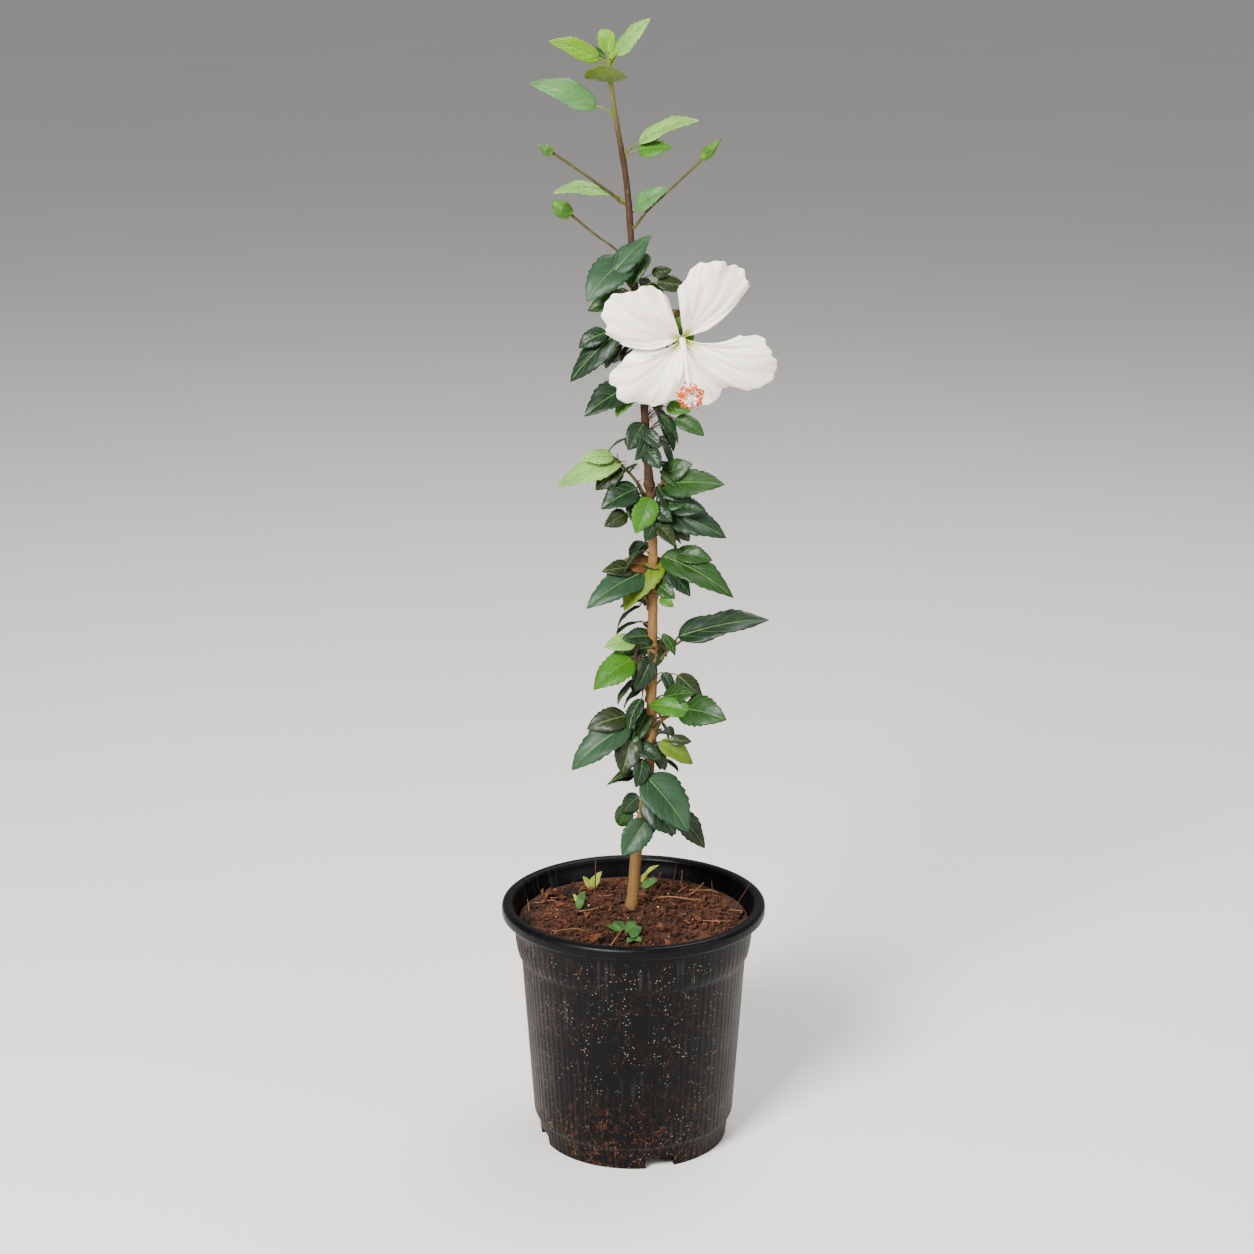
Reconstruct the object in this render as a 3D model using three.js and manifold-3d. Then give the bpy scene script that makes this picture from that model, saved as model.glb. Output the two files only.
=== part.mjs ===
// A hibiscus shrub with one white bloom, standing in its nursery pot.
// Millimetres, +Z up. The origin is on the pot's axis at the ground, and the bloom faces -Y.
import * as THREE from 'three';
import { mergeVertices } from 'three/addons/utils/BufferGeometryUtils.js';
import Module from 'manifold-3d';

const wasm = await Module();
wasm.setup();

const DEG = Math.PI / 180;
const GAP = 0.35;                 // clear space between neighbouring solids
const SLIVER = 0.05;              // detail finer than this is smoothed off a cut solid

// Pot: a tapered shell with a collar band under a rolled lip, on a foot ring
const POT_HEIGHT = 192.5;
const RIM_RADIUS = 101.5;
const LIP_BOTTOM = 182.5;         // height of the lip's under side
const LIP_INNER_RADIUS = 92.5;
const COLLAR_TOP_RADIUS = 92;
const COLLAR_FOOT_RADIUS = 89;
const COLLAR_FOOT = 151;          // height of the collar's lower edge
const BODY_TOP_RADIUS = 87;
const BODY_FOOT_RADIUS = 78.1;
const BODY_FOOT = 25;
const FOOT_TOP = 17;              // the foot ring's height and radii
const FOOT_TOP_RADIUS = 74.6;
const FOOT_RADIUS = 72.5;
const FOOT_INNER_RADIUS = 67;
const WALL = 1.8;
const BASE_UNDERSIDE = 9.6;
const BASE_TOP = 11.6;
const POT_SEGMENTS = 36;
const NOTCH_COUNT = 4;
const NOTCH_TURN = -73.6;         // bearing of the front notch, in degrees
const NOTCH_WIDTH = 23;
const NOTCH_HEIGHT = 8.8;
const SLOT_RADIUS = 60;           // drain slots in the base, inside each notch
const SLOT_SIZE = [7, 18];

// Soil
const SOIL_EDGE = 177.5;
const SOIL_MOUND = 184;
const SOIL_SEGMENTS = 28;
const SOIL_RINGS = 4;

// Main stem, bottom to tip: [x, y, height, radius]
const STEM = [
  [-2, 10, 182, 5.6], [-0.5, 9.2, 192, 4.6], [2.7, 7, 234, 4.3], [9.3, 5, 272, 4.0],
  [12.8, 4, 312, 3.8], [13.8, 3, 358, 3.7], [14.1, 2, 400, 3.6], [14.5, 2, 440, 3.5],
  [14.2, 2, 475, 3.3], [11.3, 2.5, 522, 2.95], [8.6, 3, 562, 2.7], [4.7, 4, 627, 2.55],
  [0.2, 4.5, 666, 2.45], [-2.3, 5, 705, 2.35], [-5.6, 5.5, 744, 2.2], [-10, 6, 770, 1.95],
  [-14.2, 6, 795, 1.65], [-18.4, 6, 826, 1.4],
];
const STEM_FACETS = [7, 32];       // round each kind of limb, and along it
const SHOOT_FACETS = [6, 6];
const BUD_FACETS = [8, 6];
const CALYX_FACETS = [10, 6];
const COLUMN_FACETS = [9, 14];

// Bloom
const THROAT = new THREE.Vector3(34.4, -30, 635);
const BLOOM_DROOP = 25;           // degrees that the bloom's axis hangs below level
const BLOOM_TURN = -85;           // bearing of the bloom's axis, in degrees
const PETAL_BEARINGS = [66, 138, 222, 279, 347];   // round the axis, 0 at the bloom's right
const PETAL_LENGTHS = [75, 68, 60, 57, 72];
const PETAL_WIDTH = 55;
const PETAL_THICKNESS = 1.6;
const CUP_DEPTH = 17;             // how far the petals rise along the axis before they spread
const COLUMN_LENGTH = 66;
const COLUMN_SAG = 5;
// Along the bloom's axis from the throat: [distance, radius]
const COLUMN_STEPS = [[7, 2.2], [20, 1.9], [36, 1.8], [46, 3.5], [52, 7.5], [58, 8.5], [64, 6.5], [66, 2.5]];
const CALYX_STEPS = [[-22, 2.6], [-17, 5.5], [-8, 7.5], [-0.5, 9]];

// Thin limbs, each [x, y, height, radius] from the stem outward
const LIMBS = {
  low_right_shoot: [[15, 3, 328, 1.9], [22, -3, 339, 1.6], [30, -8, 345, 1.2]],
  mid_left_shoot: [[10.5, 2, 352, 1.7], [6, -1, 372, 1.4], [1, -5, 385, 1.1]],
  mid_right_stalk: [[17, 2, 381, 1.5], [27, 1, 393, 1.2], [40, -1, 403, 0.9]],
  centre_left_shoot: [[11.3, 2, 424, 1.6], [7, 0, 439, 1.3], [0, -4, 451, 1.0]],
  centre_right_shoot: [[17.6, 1, 440, 1.6], [23, -2, 453, 1.3], [29, -4, 461, 1.0]],
  high_left_stalk: [[9.6, 2, 508, 1.5], [0, 0, 525, 1.2], [-11, -2, 537, 0.9]],
  high_right_shoot: [[14, 2, 510, 1.6], [19, 0, 519, 1.3], [25, -2, 525, 1.0]],
  bloom_stalk: [[6.5, 3.5, 634, 1.7], [14, 2, 646, 1.6], [27, -4, 650, 1.7], [32.6, -9.5, 645.5, 2.4]],
  right_bud_stalk: [[0.5, 3, 710, 1.2], [10, 1, 722, 0.9], [31, -2, 742, 0.85], [47.5, -4, 758, 1.1]],
  left_bud_stalk: [[-6.5, 5, 726, 1.6], [-13, 4, 731, 1.4], [-33, 2, 746, 0.9], [-56.5, 0, 762, 1.1]],
  lower_left_bud_stalk: [
    [-2, 3.5, 667, 1.1], [-8.5, 2, 689, 0.95], [-27, 1, 704, 0.85], [-44, 0, 718, 1.1]],
};

// Buds, base to tip: [x, y, height, radius]
const BUDS = {
  right_bud: [[47.9, -4, 758.6, 1.4], [50, -4, 761.5, 4.0], [54, -5, 765.5, 4.2], [62, -6, 773.5, 0.6]],
  left_bud: [[-57, 0, 762.4, 1.4], [-59.5, 0, 763.6, 4.2], [-63, -1, 765.5, 3.8], [-69, -2, 769, 0.6]],
  lower_left_bud: [
    [-44.6, 0, 718.5, 1.5], [-47.5, -1, 720.5, 6.2], [-53, -2, 724, 6.6], [-58, -3, 729, 2.0]],
};

// Foliage masses, one row each: height of the centre, bearing and reach from the stem,
// half sizes [along the reach, across it, in thickness] and droop below level in degrees.
// A bearing of 0 is +X, 90 is +Y, behind the bloom. The height is taken at the mass's centre.
const MASSES = {
  foot_front: [260, -82, 24, [38, 17, 9], 80],
  foot_right: [256, -15, 36, [24, 15, 11], 52],
  foot_back: [247, 82, 26, [26, 16, 11], 52],
  low_left: [322, -166, 38, [31, 18, 12], 36],
  low_front: [306, -105, 16, [22, 21, 7], 76],
  low_right: [311, -8, 22, [18, 14, 12], 45],
  low_front_right: [350, -33, 34, [31, 17, 11], 7],
  low_back: [315, 88, 29, [27, 17, 13], 32],
  mid_left: [384, -148, 29, [28, 20, 14], 42],
  mid_right: [369, -2, 25, [20, 14, 11], 38],
  mid_right_leaf: [413, -4, 54, [33, 13, 8], -10],
  mid_back: [381, 110, 29, [28, 16, 13], 28],
  centre_left: [444, -155, 32, [25, 17, 12], 31],
  centre_right: [454, -17, 36, [30, 17, 11], 30],
  centre_front: [434, -68, 18, [14, 12, 7], 60],
  centre_back: [441, 84, 29, [27, 17, 13], 30],
  upper_right: [492, -11, 33, [25, 16, 12], 22],
  upper_left: [500, -144, 25, [22, 17, 12], 60],
  upper_front: [494, -74, 17, [20, 13, 7], 74],
  upper_back: [497, 93, 29, [27, 16, 13], 28],
  high_right: [522, -18, 31, [27, 16, 11], 8],
  high_left: [531, -171, 43, [27, 14, 9], 26],
  high_front: [551, -84, 17, [19, 17, 8], 66],
  high_back: [546, 86, 27, [26, 15, 13], 26],
  under_bloom_right: [569, -14, 28, [19, 12, 8], 28],
  under_bloom_left: [586, -157, 29, [20, 14, 10], 28],
  bloom_left: [618, 180, 36, [25, 12, 8], 46],
  bloom_left_upper: [654, -172, 19, [17, 11, 9], 22],
  bloom_right: [668, 12, 24, [15, 11, 9], 10],
  bloom_back: [607, 99, 26, [25, 15, 12], 24],
  crown_left: [683, -148, 15, [33, 12, 9], 33],
  crown_back: [684, 88, 21, [23, 11, 8], 10],
  crown_right: [731, -10, 16, [15, 9, 5], -38],
  crown_low_left: [735, -172, 31, [22, 9, 5], -3],
  top_right: [779, -4, 32, [26, 9, 6], -22],
  top_left: [806, -174, 31, [28, 10, 7], -20],
  tip_left: [838, -152, 24, [22, 12, 6], -18],
  tip_front: [821, -98, 20, [16, 15, 6], 6],
  tip_right: [845, -18, 16, [19, 8, 5], -46],
  tip_back: [838, 98, 14, [18, 9, 6], -40],
};
const BIG_MASS = 30;              // half length from which a mass takes the finer sphere

function material(color, roughness = 0.7) {
  return new THREE.MeshStandardMaterial({ color, roughness, metalness: 0 });
}
const POT_PLASTIC = material(0x1c1e21, 0.5);
const SOIL_MATTER = material(0x6b3b22, 0.95);
const BARK = material(0x8a6134, 0.8);
const GREEN_SHOOT = material(0x5f6a2a, 0.6);
const LEAF = material(0x2f5a2c, 0.5);
const YOUNG_LEAF = material(0x8fae6e, 0.55);
const PETAL = material(0xf4efe2, 0.6);
const BUD_GREEN = material(0x5d8a3a, 0.55);

// Moves every point of a primitive by map(x, y, z) and merges the vertices into one closed skin.
function warp(geometry, map) {
  geometry.deleteAttribute('normal');
  geometry.deleteAttribute('uv');
  const place = geometry.attributes.position;
  for (let i = 0; i < place.count; i += 1) {
    const to = map(place.getX(i), place.getY(i), place.getZ(i));
    place.setXYZ(i, to.x, to.y, to.z);
  }
  return mergeVertices(geometry, 1e-4);
}

function toSolid(geometry) {
  return new wasm.Manifold(new wasm.Mesh({
    numProp: 3,
    vertProperties: new Float32Array(geometry.attributes.position.array),
    triVerts: new Uint32Array(geometry.index.array),
  }));
}

// The largest body of a cut solid, as a geometry
function toGeometry(solid) {
  const bodies = solid.simplify(SLIVER).decompose();
  bodies.sort((a, b) => b.volume() - a.volume());
  const mesh = bodies[0].getMesh();
  const geometry = new THREE.BufferGeometry();
  geometry.setAttribute('position', new THREE.BufferAttribute(new Float32Array(mesh.vertProperties), 3));
  geometry.setIndex(new THREE.BufferAttribute(new Uint32Array(mesh.triVerts), 1));
  return geometry;
}

// A repeatable draw of numbers from 0 to 1
function draws(seed) {
  let state = seed;
  return () => {
    state = (state * 1664525 + 1013904223) % 4294967296;
    return state / 4294967296;
  };
}

function direction(bearing, droop) {
  const flat = Math.cos(droop * DEG);
  return new THREE.Vector3(
    flat * Math.cos(bearing * DEG), flat * Math.sin(bearing * DEG), -Math.sin(droop * DEG));
}

// One limb through rows of [x, y, height, radius], with flat ends
function limb(rows, [sides, steps], grow = 0) {
  const route = new THREE.CatmullRomCurve3(rows.map((row) => new THREE.Vector3(...row)));
  const chord = route.getPoint(1).sub(route.getPoint(0)).normalize();
  const across = Math.abs(chord.y) < 0.8 ? new THREE.Vector3(0, 1, 0) : new THREE.Vector3(1, 0, 0);
  const radiusAt = (t) => {
    const spot = Math.min(t * (rows.length - 1), rows.length - 1.0001);
    const row = Math.floor(spot);
    return THREE.MathUtils.lerp(rows[row][3], rows[row + 1][3], spot - row) + grow;
  };
  return warp(new THREE.CylinderGeometry(1, 1, 1, sides, steps), (x, y, z) => {
    const t = y + 0.5;
    const along = route.getTangent(t);
    const side = new THREE.Vector3().crossVectors(across, along).normalize();
    const lift = new THREE.Vector3().crossVectors(side, along);
    const spread = radiusAt(t);
    return route.getPoint(t)
      .addScaledVector(along, Math.abs(y) > 0.499 ? grow * Math.sign(y) : 0)
      .addScaledVector(side, x * spread)
      .addScaledVector(lift, z * spread);
  });
}

// The stem's axis at a height
function stemAt(height) {
  let row = 0;
  while (row < STEM.length - 2 && STEM[row + 1][2] < height) row += 1;
  const [low, high] = [STEM[row], STEM[row + 1]];
  const t = THREE.MathUtils.clamp((height - low[2]) / (high[2] - low[2]), 0, 1);
  return new THREE.Vector3(
    THREE.MathUtils.lerp(low[0], high[0], t), THREE.MathUtils.lerp(low[1], high[1], t), height);
}

// One mass of leaves: an ellipsoid, narrower outward and uneven by slow seeded waves
function mass([height, bearing, reach, [long, wide, thick], droop], seed, grow = 0) {
  const draw = draws(seed);
  const waves = Array.from({ length: 3 }, () => ({
    pull: new THREE.Vector3(draw() - 0.5, draw() - 0.5, draw() - 0.5).multiplyScalar(7),
    phase: draw() * Math.PI * 2,
  }));
  const centre = stemAt(height).addScaledVector(direction(bearing, 0), reach);
  const along = direction(bearing, droop);
  const across = direction(bearing + 90, 0);
  const lift = new THREE.Vector3().crossVectors(along, across);
  const detail = long < BIG_MASS ? 1 : 2;
  return warp(new THREE.IcosahedronGeometry(1, detail), (x, y, z) => {
    const spot = new THREE.Vector3(x, y, z);
    const swell = waves.reduce((sum, wave) => sum + 0.06 * Math.sin(wave.pull.dot(spot) + wave.phase), 1);
    const taper = 1 - 0.22 * x;
    return centre.clone()
      .addScaledVector(along, x * (long * (1 + 0.04 * swell) + grow))
      .addScaledVector(across, y * taper * (wide * swell + grow))
      .addScaledVector(lift, z * taper * (thick * swell + grow) - 0.12 * long * x * x);
  });
}

function cutBy(solid, cutters) {
  return cutters.reduce((left, cutter) => left.subtract(cutter), solid);
}

// Pot, turned from one closed profile of [radius, height], then notched at the foot
function pot() {
  const profile = [
    [0, BASE_UNDERSIDE], [FOOT_INNER_RADIUS, BASE_UNDERSIDE], [FOOT_INNER_RADIUS, 0], [FOOT_RADIUS, 0],
    [FOOT_TOP_RADIUS, FOOT_TOP], [BODY_FOOT_RADIUS - 0.8, FOOT_TOP + 2.5],
    [BODY_FOOT_RADIUS, BODY_FOOT], [BODY_TOP_RADIUS, COLLAR_FOOT - 2.5],
    [COLLAR_FOOT_RADIUS, COLLAR_FOOT], [COLLAR_TOP_RADIUS, LIP_BOTTOM],
    [RIM_RADIUS - 1.2, LIP_BOTTOM + 0.4], [RIM_RADIUS, LIP_BOTTOM + 2.4],
    [RIM_RADIUS, POT_HEIGHT - 3.6], [RIM_RADIUS - 2, POT_HEIGHT - 0.9], [RIM_RADIUS - 5, POT_HEIGHT],
    [LIP_INNER_RADIUS + 1, POT_HEIGHT - 0.9], [LIP_INNER_RADIUS, POT_HEIGHT - 3.4],
    [COLLAR_TOP_RADIUS - WALL, LIP_BOTTOM - 1], [COLLAR_FOOT_RADIUS - WALL, COLLAR_FOOT],
    [BODY_TOP_RADIUS - WALL, COLLAR_FOOT - 2.5 - WALL], [BODY_FOOT_RADIUS - WALL, BODY_FOOT],
    [FOOT_TOP_RADIUS - WALL, FOOT_TOP], [FOOT_TOP_RADIUS - WALL - 0.4, BASE_TOP], [0, BASE_TOP],
  ].map(([radius, height]) => new THREE.Vector2(radius, height));
  const shell = toSolid(standing(new THREE.LatheGeometry(profile, POT_SEGMENTS)));
  const notch = new THREE.Shape();
  const half = NOTCH_WIDTH / 2;
  notch.moveTo(-half, -1).lineTo(half, -1).lineTo(half, NOTCH_HEIGHT - 3);
  notch.quadraticCurveTo(half, NOTCH_HEIGHT, half - 3, NOTCH_HEIGHT);
  notch.lineTo(3 - half, NOTCH_HEIGHT);
  notch.quadraticCurveTo(-half, NOTCH_HEIGHT, -half, NOTCH_HEIGHT - 3);
  notch.lineTo(-half, -1);
  const cutters = [];
  for (let i = 0; i < NOTCH_COUNT; i += 1) {
    const bearing = NOTCH_TURN + i * 360 / NOTCH_COUNT;
    const out = direction(bearing, 0);
    const side = direction(bearing + 90, 0);
    const passage = new THREE.ExtrudeGeometry(
      notch, { depth: 20, bevelEnabled: false, curveSegments: 2 });
    cutters.push(toSolid(warp(passage, (x, y, z) => new THREE.Vector3(0, 0, y)
      .addScaledVector(side, x).addScaledVector(out, FOOT_RADIUS - 12 + z))));
    const slot = new THREE.BoxGeometry(...SLOT_SIZE, 10);
    cutters.push(toSolid(warp(slot, (x, y, z) => new THREE.Vector3(0, 0, BASE_TOP + z)
      .addScaledVector(out, SLOT_RADIUS + x).addScaledVector(side, y))));
  }
  return toGeometry(cutBy(shell, cutters));
}

// A lathe turns about its Y axis; this stands it on the ground about +Z.
function standing(geometry) {
  return warp(geometry, (x, y, z) => new THREE.Vector3(x, -z, y));
}

// Soil: fills the pot, mounded at the stem, with an uneven top
function soil(stemCutter) {
  const foot = BASE_TOP + GAP;
  const edge = COLLAR_TOP_RADIUS - WALL - 1.7;
  const profile = [
    [0, foot], [FOOT_TOP_RADIUS - WALL - 1, foot], [FOOT_TOP_RADIUS - WALL - 1, FOOT_TOP],
    [BODY_FOOT_RADIUS - WALL - 0.8, BODY_FOOT + 1],
    [BODY_TOP_RADIUS - WALL - 0.8, COLLAR_FOOT - 5], [COLLAR_FOOT_RADIUS - WALL - 0.8, COLLAR_FOOT + 1],
    [edge, SOIL_EDGE - 3],
  ].map(([radius, height]) => new THREE.Vector2(radius, height));
  for (let ring = SOIL_RINGS; ring >= 0; ring -= 1) {
    const share = ring / SOIL_RINGS;
    const height = THREE.MathUtils.lerp(SOIL_MOUND, SOIL_EDGE, Math.pow(share, 0.7));
    profile.push(new THREE.Vector2((edge - 0.6) * share, height));
  }
  const heap = warp(standing(new THREE.LatheGeometry(profile, SOIL_SEGMENTS)), (x, y, z) => {
    const inner = Math.max(0, 1 - Math.hypot(x, y) / edge) * (z > SOIL_EDGE - 1 ? 1 : 0);
    const lump = Math.sin(x * 0.13 + 1) * Math.cos(y * 0.11) + 0.6 * Math.sin(x * 0.31 - y * 0.27);
    return new THREE.Vector3(x, y, z + Math.min(1, inner * 3) * lump);
  });
  return toGeometry(toSolid(heap).subtract(stemCutter));
}

// The bloom's own axes: right, up and forward along its axis
function bloomAxes() {
  const forward = direction(BLOOM_TURN, BLOOM_DROOP);
  const right = new THREE.Vector3(1, 0, 0).addScaledVector(forward, -forward.x).normalize();
  const up = new THREE.Vector3().crossVectors(forward, right);
  return { right, up, forward };
}

// One petal: a thin curved blade from the throat, narrow at its claw and broad and round at its end
function petal(bearing, length, thickness) {
  const { right, up, forward } = bloomAxes();
  const out = right.clone().multiplyScalar(Math.cos(bearing * DEG))
    .addScaledVector(up, Math.sin(bearing * DEG));
  const side = new THREE.Vector3().crossVectors(forward, out);
  const broadest = 0.64;
  return warp(new THREE.BoxGeometry(1, 1, 1, 6, 4, 1), (x, y, z) => {
    const t = (1 - Math.cos(Math.PI * (x + 0.5))) / 2;
    const swell = t < broadest
      ? 0.22 + 0.78 * Math.sin(Math.PI / 2 * t / broadest)
      : Math.sqrt(Math.max(0.02, 1 - ((t - broadest) / (1 - broadest)) ** 2));
    const across = y * PETAL_WIDTH * swell;
    const rise = CUP_DEPTH * (1 - (1 - t) ** 2) - 9 * t ** 3 + 5 * y * swell;
    return THROAT.clone()
      .addScaledVector(out, 2 + (length - 2) * t)
      .addScaledVector(side, across)
      .addScaledVector(forward, rise + z * thickness);
  });
}

function corolla(thickness) {
  const blades = PETAL_BEARINGS.map((bearing, i) => toSolid(petal(bearing, PETAL_LENGTHS[i], thickness)));
  return blades.reduce((whole, blade) => whole.add(blade));
}

// Rows of [x, y, height, radius] along the bloom's axis, which sinks by sag at the column's end
function axisRows(steps, sag = 0) {
  const { forward } = bloomAxes();
  return steps.map(([along, radius]) => {
    const place = THROAT.clone().addScaledVector(forward, along);
    return [place.x, place.y, place.z - sag * (along / COLUMN_LENGTH) ** 2, radius];
  });
}

const group = new THREE.Group();

function addNode(name, geometry, finish) {
  const mesh = new THREE.Mesh(geometry, finish);
  mesh.name = name;
  group.add(mesh);
}

const stemCutter = toSolid(limb(STEM, STEM_FACETS, GAP + 0.1));

addNode('pot', pot(), POT_PLASTIC);
addNode('soil', soil(stemCutter), SOIL_MATTER);
addNode('main_stem', limb(STEM, STEM_FACETS), BARK);

// Hard pieces come first, and each later solid is cut clear of those already standing.
const standingSolids = [stemCutter];

function addLimbs(limbs, facets, finish) {
  for (const [name, rows] of Object.entries(limbs)) {
    addNode(name, toGeometry(cutBy(toSolid(limb(rows, facets)), standingSolids)), finish);
  }
  for (const rows of Object.values(limbs)) standingSolids.push(toSolid(limb(rows, facets, GAP)));
}

addLimbs(LIMBS, SHOOT_FACETS, GREEN_SHOOT);
addLimbs(BUDS, BUD_FACETS, BUD_GREEN);
addLimbs({ calyx: axisRows(CALYX_STEPS) }, CALYX_FACETS, BUD_GREEN);
const column = axisRows(COLUMN_STEPS, COLUMN_SAG);
const columnCutter = toSolid(limb(column, COLUMN_FACETS, GAP));
addNode('stamen_column', toGeometry(toSolid(limb(column, COLUMN_FACETS))), PETAL);
addNode('corolla', toGeometry(cutBy(corolla(PETAL_THICKNESS), [...standingSolids, columnCutter])), PETAL);
standingSolids.push(columnCutter, corolla(PETAL_THICKNESS + 2 * GAP));

Object.entries(MASSES).forEach(([name, row], seed) => {
  const whole = toSolid(mass(row, seed + 11));
  const young = name.startsWith('tip') || name.startsWith('top');
  addNode(name, toGeometry(cutBy(whole, standingSolids)), young ? YOUNG_LEAF : LEAF);
  standingSolids.push(toSolid(mass(row, seed + 11, GAP)));
});

export default group;
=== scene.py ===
import math
from collections import namedtuple
from functools import cache

import bpy
import numpy as np
from bpy.props import FloatProperty, FloatVectorProperty, IntProperty, PointerProperty
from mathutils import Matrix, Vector, noise


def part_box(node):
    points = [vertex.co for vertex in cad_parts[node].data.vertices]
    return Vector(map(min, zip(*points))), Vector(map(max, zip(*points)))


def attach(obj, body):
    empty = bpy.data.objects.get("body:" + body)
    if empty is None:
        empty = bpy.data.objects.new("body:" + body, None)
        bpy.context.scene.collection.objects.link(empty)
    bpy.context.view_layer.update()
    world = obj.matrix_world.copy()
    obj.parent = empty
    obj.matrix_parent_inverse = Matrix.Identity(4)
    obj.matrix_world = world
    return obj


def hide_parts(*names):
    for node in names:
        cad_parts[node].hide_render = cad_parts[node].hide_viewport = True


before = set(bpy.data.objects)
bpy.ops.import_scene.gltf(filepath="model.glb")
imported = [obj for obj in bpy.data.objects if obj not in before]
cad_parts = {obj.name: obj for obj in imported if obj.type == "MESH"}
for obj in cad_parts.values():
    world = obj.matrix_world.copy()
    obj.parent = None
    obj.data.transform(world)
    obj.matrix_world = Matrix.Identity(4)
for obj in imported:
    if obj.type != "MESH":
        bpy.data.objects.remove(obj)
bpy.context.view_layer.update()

bl_info = {
    "name": "Potted Hibiscus Shrub",
    "version": (1, 0, 0),
    "blender": (4, 5, 0),
    "location": "View3D > Sidebar > Hibiscus",
    "description": "Models a young hibiscus shrub with its bloom, buds, soil and nursery pot",
    "category": "Object",
}

MM = 0.001
UP = np.array([0.0, 0.0, 1.0])
VIEWER = np.array([0.0, -1.0, 0.0])      # the side that the bloom faces
CAMERA_SIDE = np.array([0.0, -0.97, 0.24])
UP_AND_RIGHT = np.array([0.6, 0.0, 1.0])
RING_GAP = 1.5 * MM                      # rings of a CAD limb lie further apart than this


def linear(red, green, blue):
    """A colour given in 0 to 255 steps, as the linear values that shaders take."""
    return tuple(((c / 255 + 0.055) / 1.055) ** 2.4 if c > 10 else c / 255 / 12.92
                 for c in (red, green, blue))


def colour(name, words, rgb):
    return FloatVectorProperty(name=name, description=words, subtype="COLOR", size=3,
                               min=0, max=1, default=linear(*rgb))


def length(name, words, millimetres):
    return FloatProperty(name=name, description=words, unit="LENGTH", subtype="DISTANCE",
                         min=0, precision=5, default=millimetres * MM)


def share(name, words, value):
    return FloatProperty(name=name, description=words, subtype="FACTOR", min=0, max=3, default=value)


def count(name, words, value):
    return IntProperty(name=name, description=words, min=1, default=value)


# ---------------------------------------------------------------- sizes and colours

class PotSettings(bpy.types.PropertyGroup):
    sides: count("Sides", "Facets round the pot", 144)
    lip_height: length("Lip height", "Height of the rolled lip", 10)
    lip_overhang: length("Lip overhang", "How far the lip stands out past the collar", 9.5)
    lip_inside: length("Lip inside", "How far the lip's inner edge is from its outer edge", 9)
    collar: length("Collar", "Height of the band under the lip", 31)
    collar_flare: length("Collar flare", "How much the collar narrows towards its lower edge", 3)
    collar_step: length("Collar step", "Step from the collar in to the body", 2)
    body_foot: length("Body foot", "Height at which the body starts its taper", 25)
    body_foot_radius: length("Body foot radius", "Radius of the body at its foot", 78.1)
    foot_band: length("Foot band", "Height of the narrow band at the foot", 17)
    foot_radius: length("Foot radius", "Radius of the foot where it stands", 72.5)
    foot_flare: length("Foot flare", "How much the foot band widens upwards", 2.1)
    foot_ring: length("Foot ring", "Width of the ring that the pot stands on", 5.5)
    wall: length("Wall", "Thickness of the plastic", 1.8)
    base: length("Base", "Height of the base plate's under side", 9.6)
    notches: count("Notches", "Drain notches in the foot", 4)
    notch_turn: FloatProperty(name="Notch turn", description="Bearing of the front notch",
                              subtype="ANGLE", default=math.radians(-73.6))
    notch_width: length("Notch width", "Width of a drain notch", 23)
    notch_height: length("Notch height", "Height of a drain notch", 8.8)
    plastic: colour("Plastic", "Black plastic of the pot", (2, 2, 3))
    scuff: colour("Scuff", "Grey bloom on rubbed and weathered plastic", (52, 52, 54))
    grit: colour("Grit", "Pale grains stuck to the plastic", (176, 164, 142))
    mud: colour("Mud", "Dried red mud low on the pot", (84, 48, 27))


class SoilSettings(bpy.types.PropertyGroup):
    sides: count("Sides", "Facets round the soil", 150)
    rings: count("Rings", "Rings across the soil's top", 62)
    edge: length("Edge", "Height of the soil at the pot's wall", 177.5)
    mound: length("Mound", "Rise of the soil from its edge to the stem", 6)
    crumbs: count("Crumbs", "Loose crumbs of soil", 2200)
    flecks: count("Flecks", "Pale flecks of stone and wood", 70)
    twigs: count("Twigs", "Dry twigs lying on the soil", 70)
    scraps: count("Scraps", "Dry curled scraps of leaf", 60)
    earth: colour("Earth", "Red-brown soil", (66, 38, 23))
    shade: colour("Earth in shade", "Dark damp soil", (24, 14, 9))
    fleck: colour("Fleck", "Perlite and stone", (160, 130, 104))
    straw: colour("Straw", "Dry straw", (122, 84, 52))
    twig: colour("Twig", "Dark dry twigs", (72, 40, 26))
    dry_leaf: colour("Dry leaf", "Dry curled leaf", (84, 46, 28))
    black_leaf: colour("Black leaf", "Rotten dark leaf", (22, 14, 9))
    green: colour("Sprig", "Leaflets lying at the front", (50, 82, 36))
    yellow_green: colour("Yellow scrap", "Yellow-green scraps of leaf", (118, 128, 48))


class StemSettings(bpy.types.PropertyGroup):
    roundness: count("Roundness", "Bevel steps of the stem's round section", 8)
    rows: count("Rows", "Rows of points along the stem", 620)
    groove: length("Groove", "Depth of the bark's fine grooves", 0.16)
    lump: length("Lump", "Height of pores and small lumps on the bark", 0.28)
    collar: length("Leaf collar", "Swelling of the stem where a leaf stalk leaves it", 0.5)
    tan: colour("Tan bark", "Bark near the soil", (118, 87, 46))
    # The umber is partly the browner bark higher up and partly painted shade from the leaves round the
    # upper stem.
    umber: colour("Umber bark", "Bark higher up", (44, 29, 15))
    green: colour("Green bark", "Soft bark at the top", (92, 94, 36))
    scar: colour("Scar", "Dark marks and leaf scars", (70, 46, 30))
    shoot: colour("Shoot", "Side shoots and flower stalks", (64, 58, 18))
    stalk: colour("Leaf stalk", "Leaf stalks low on the plant", (62, 40, 24))
    fresh_stalk: colour("Fresh stalk", "Leaf stalks near the top", (86, 100, 26))


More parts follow.
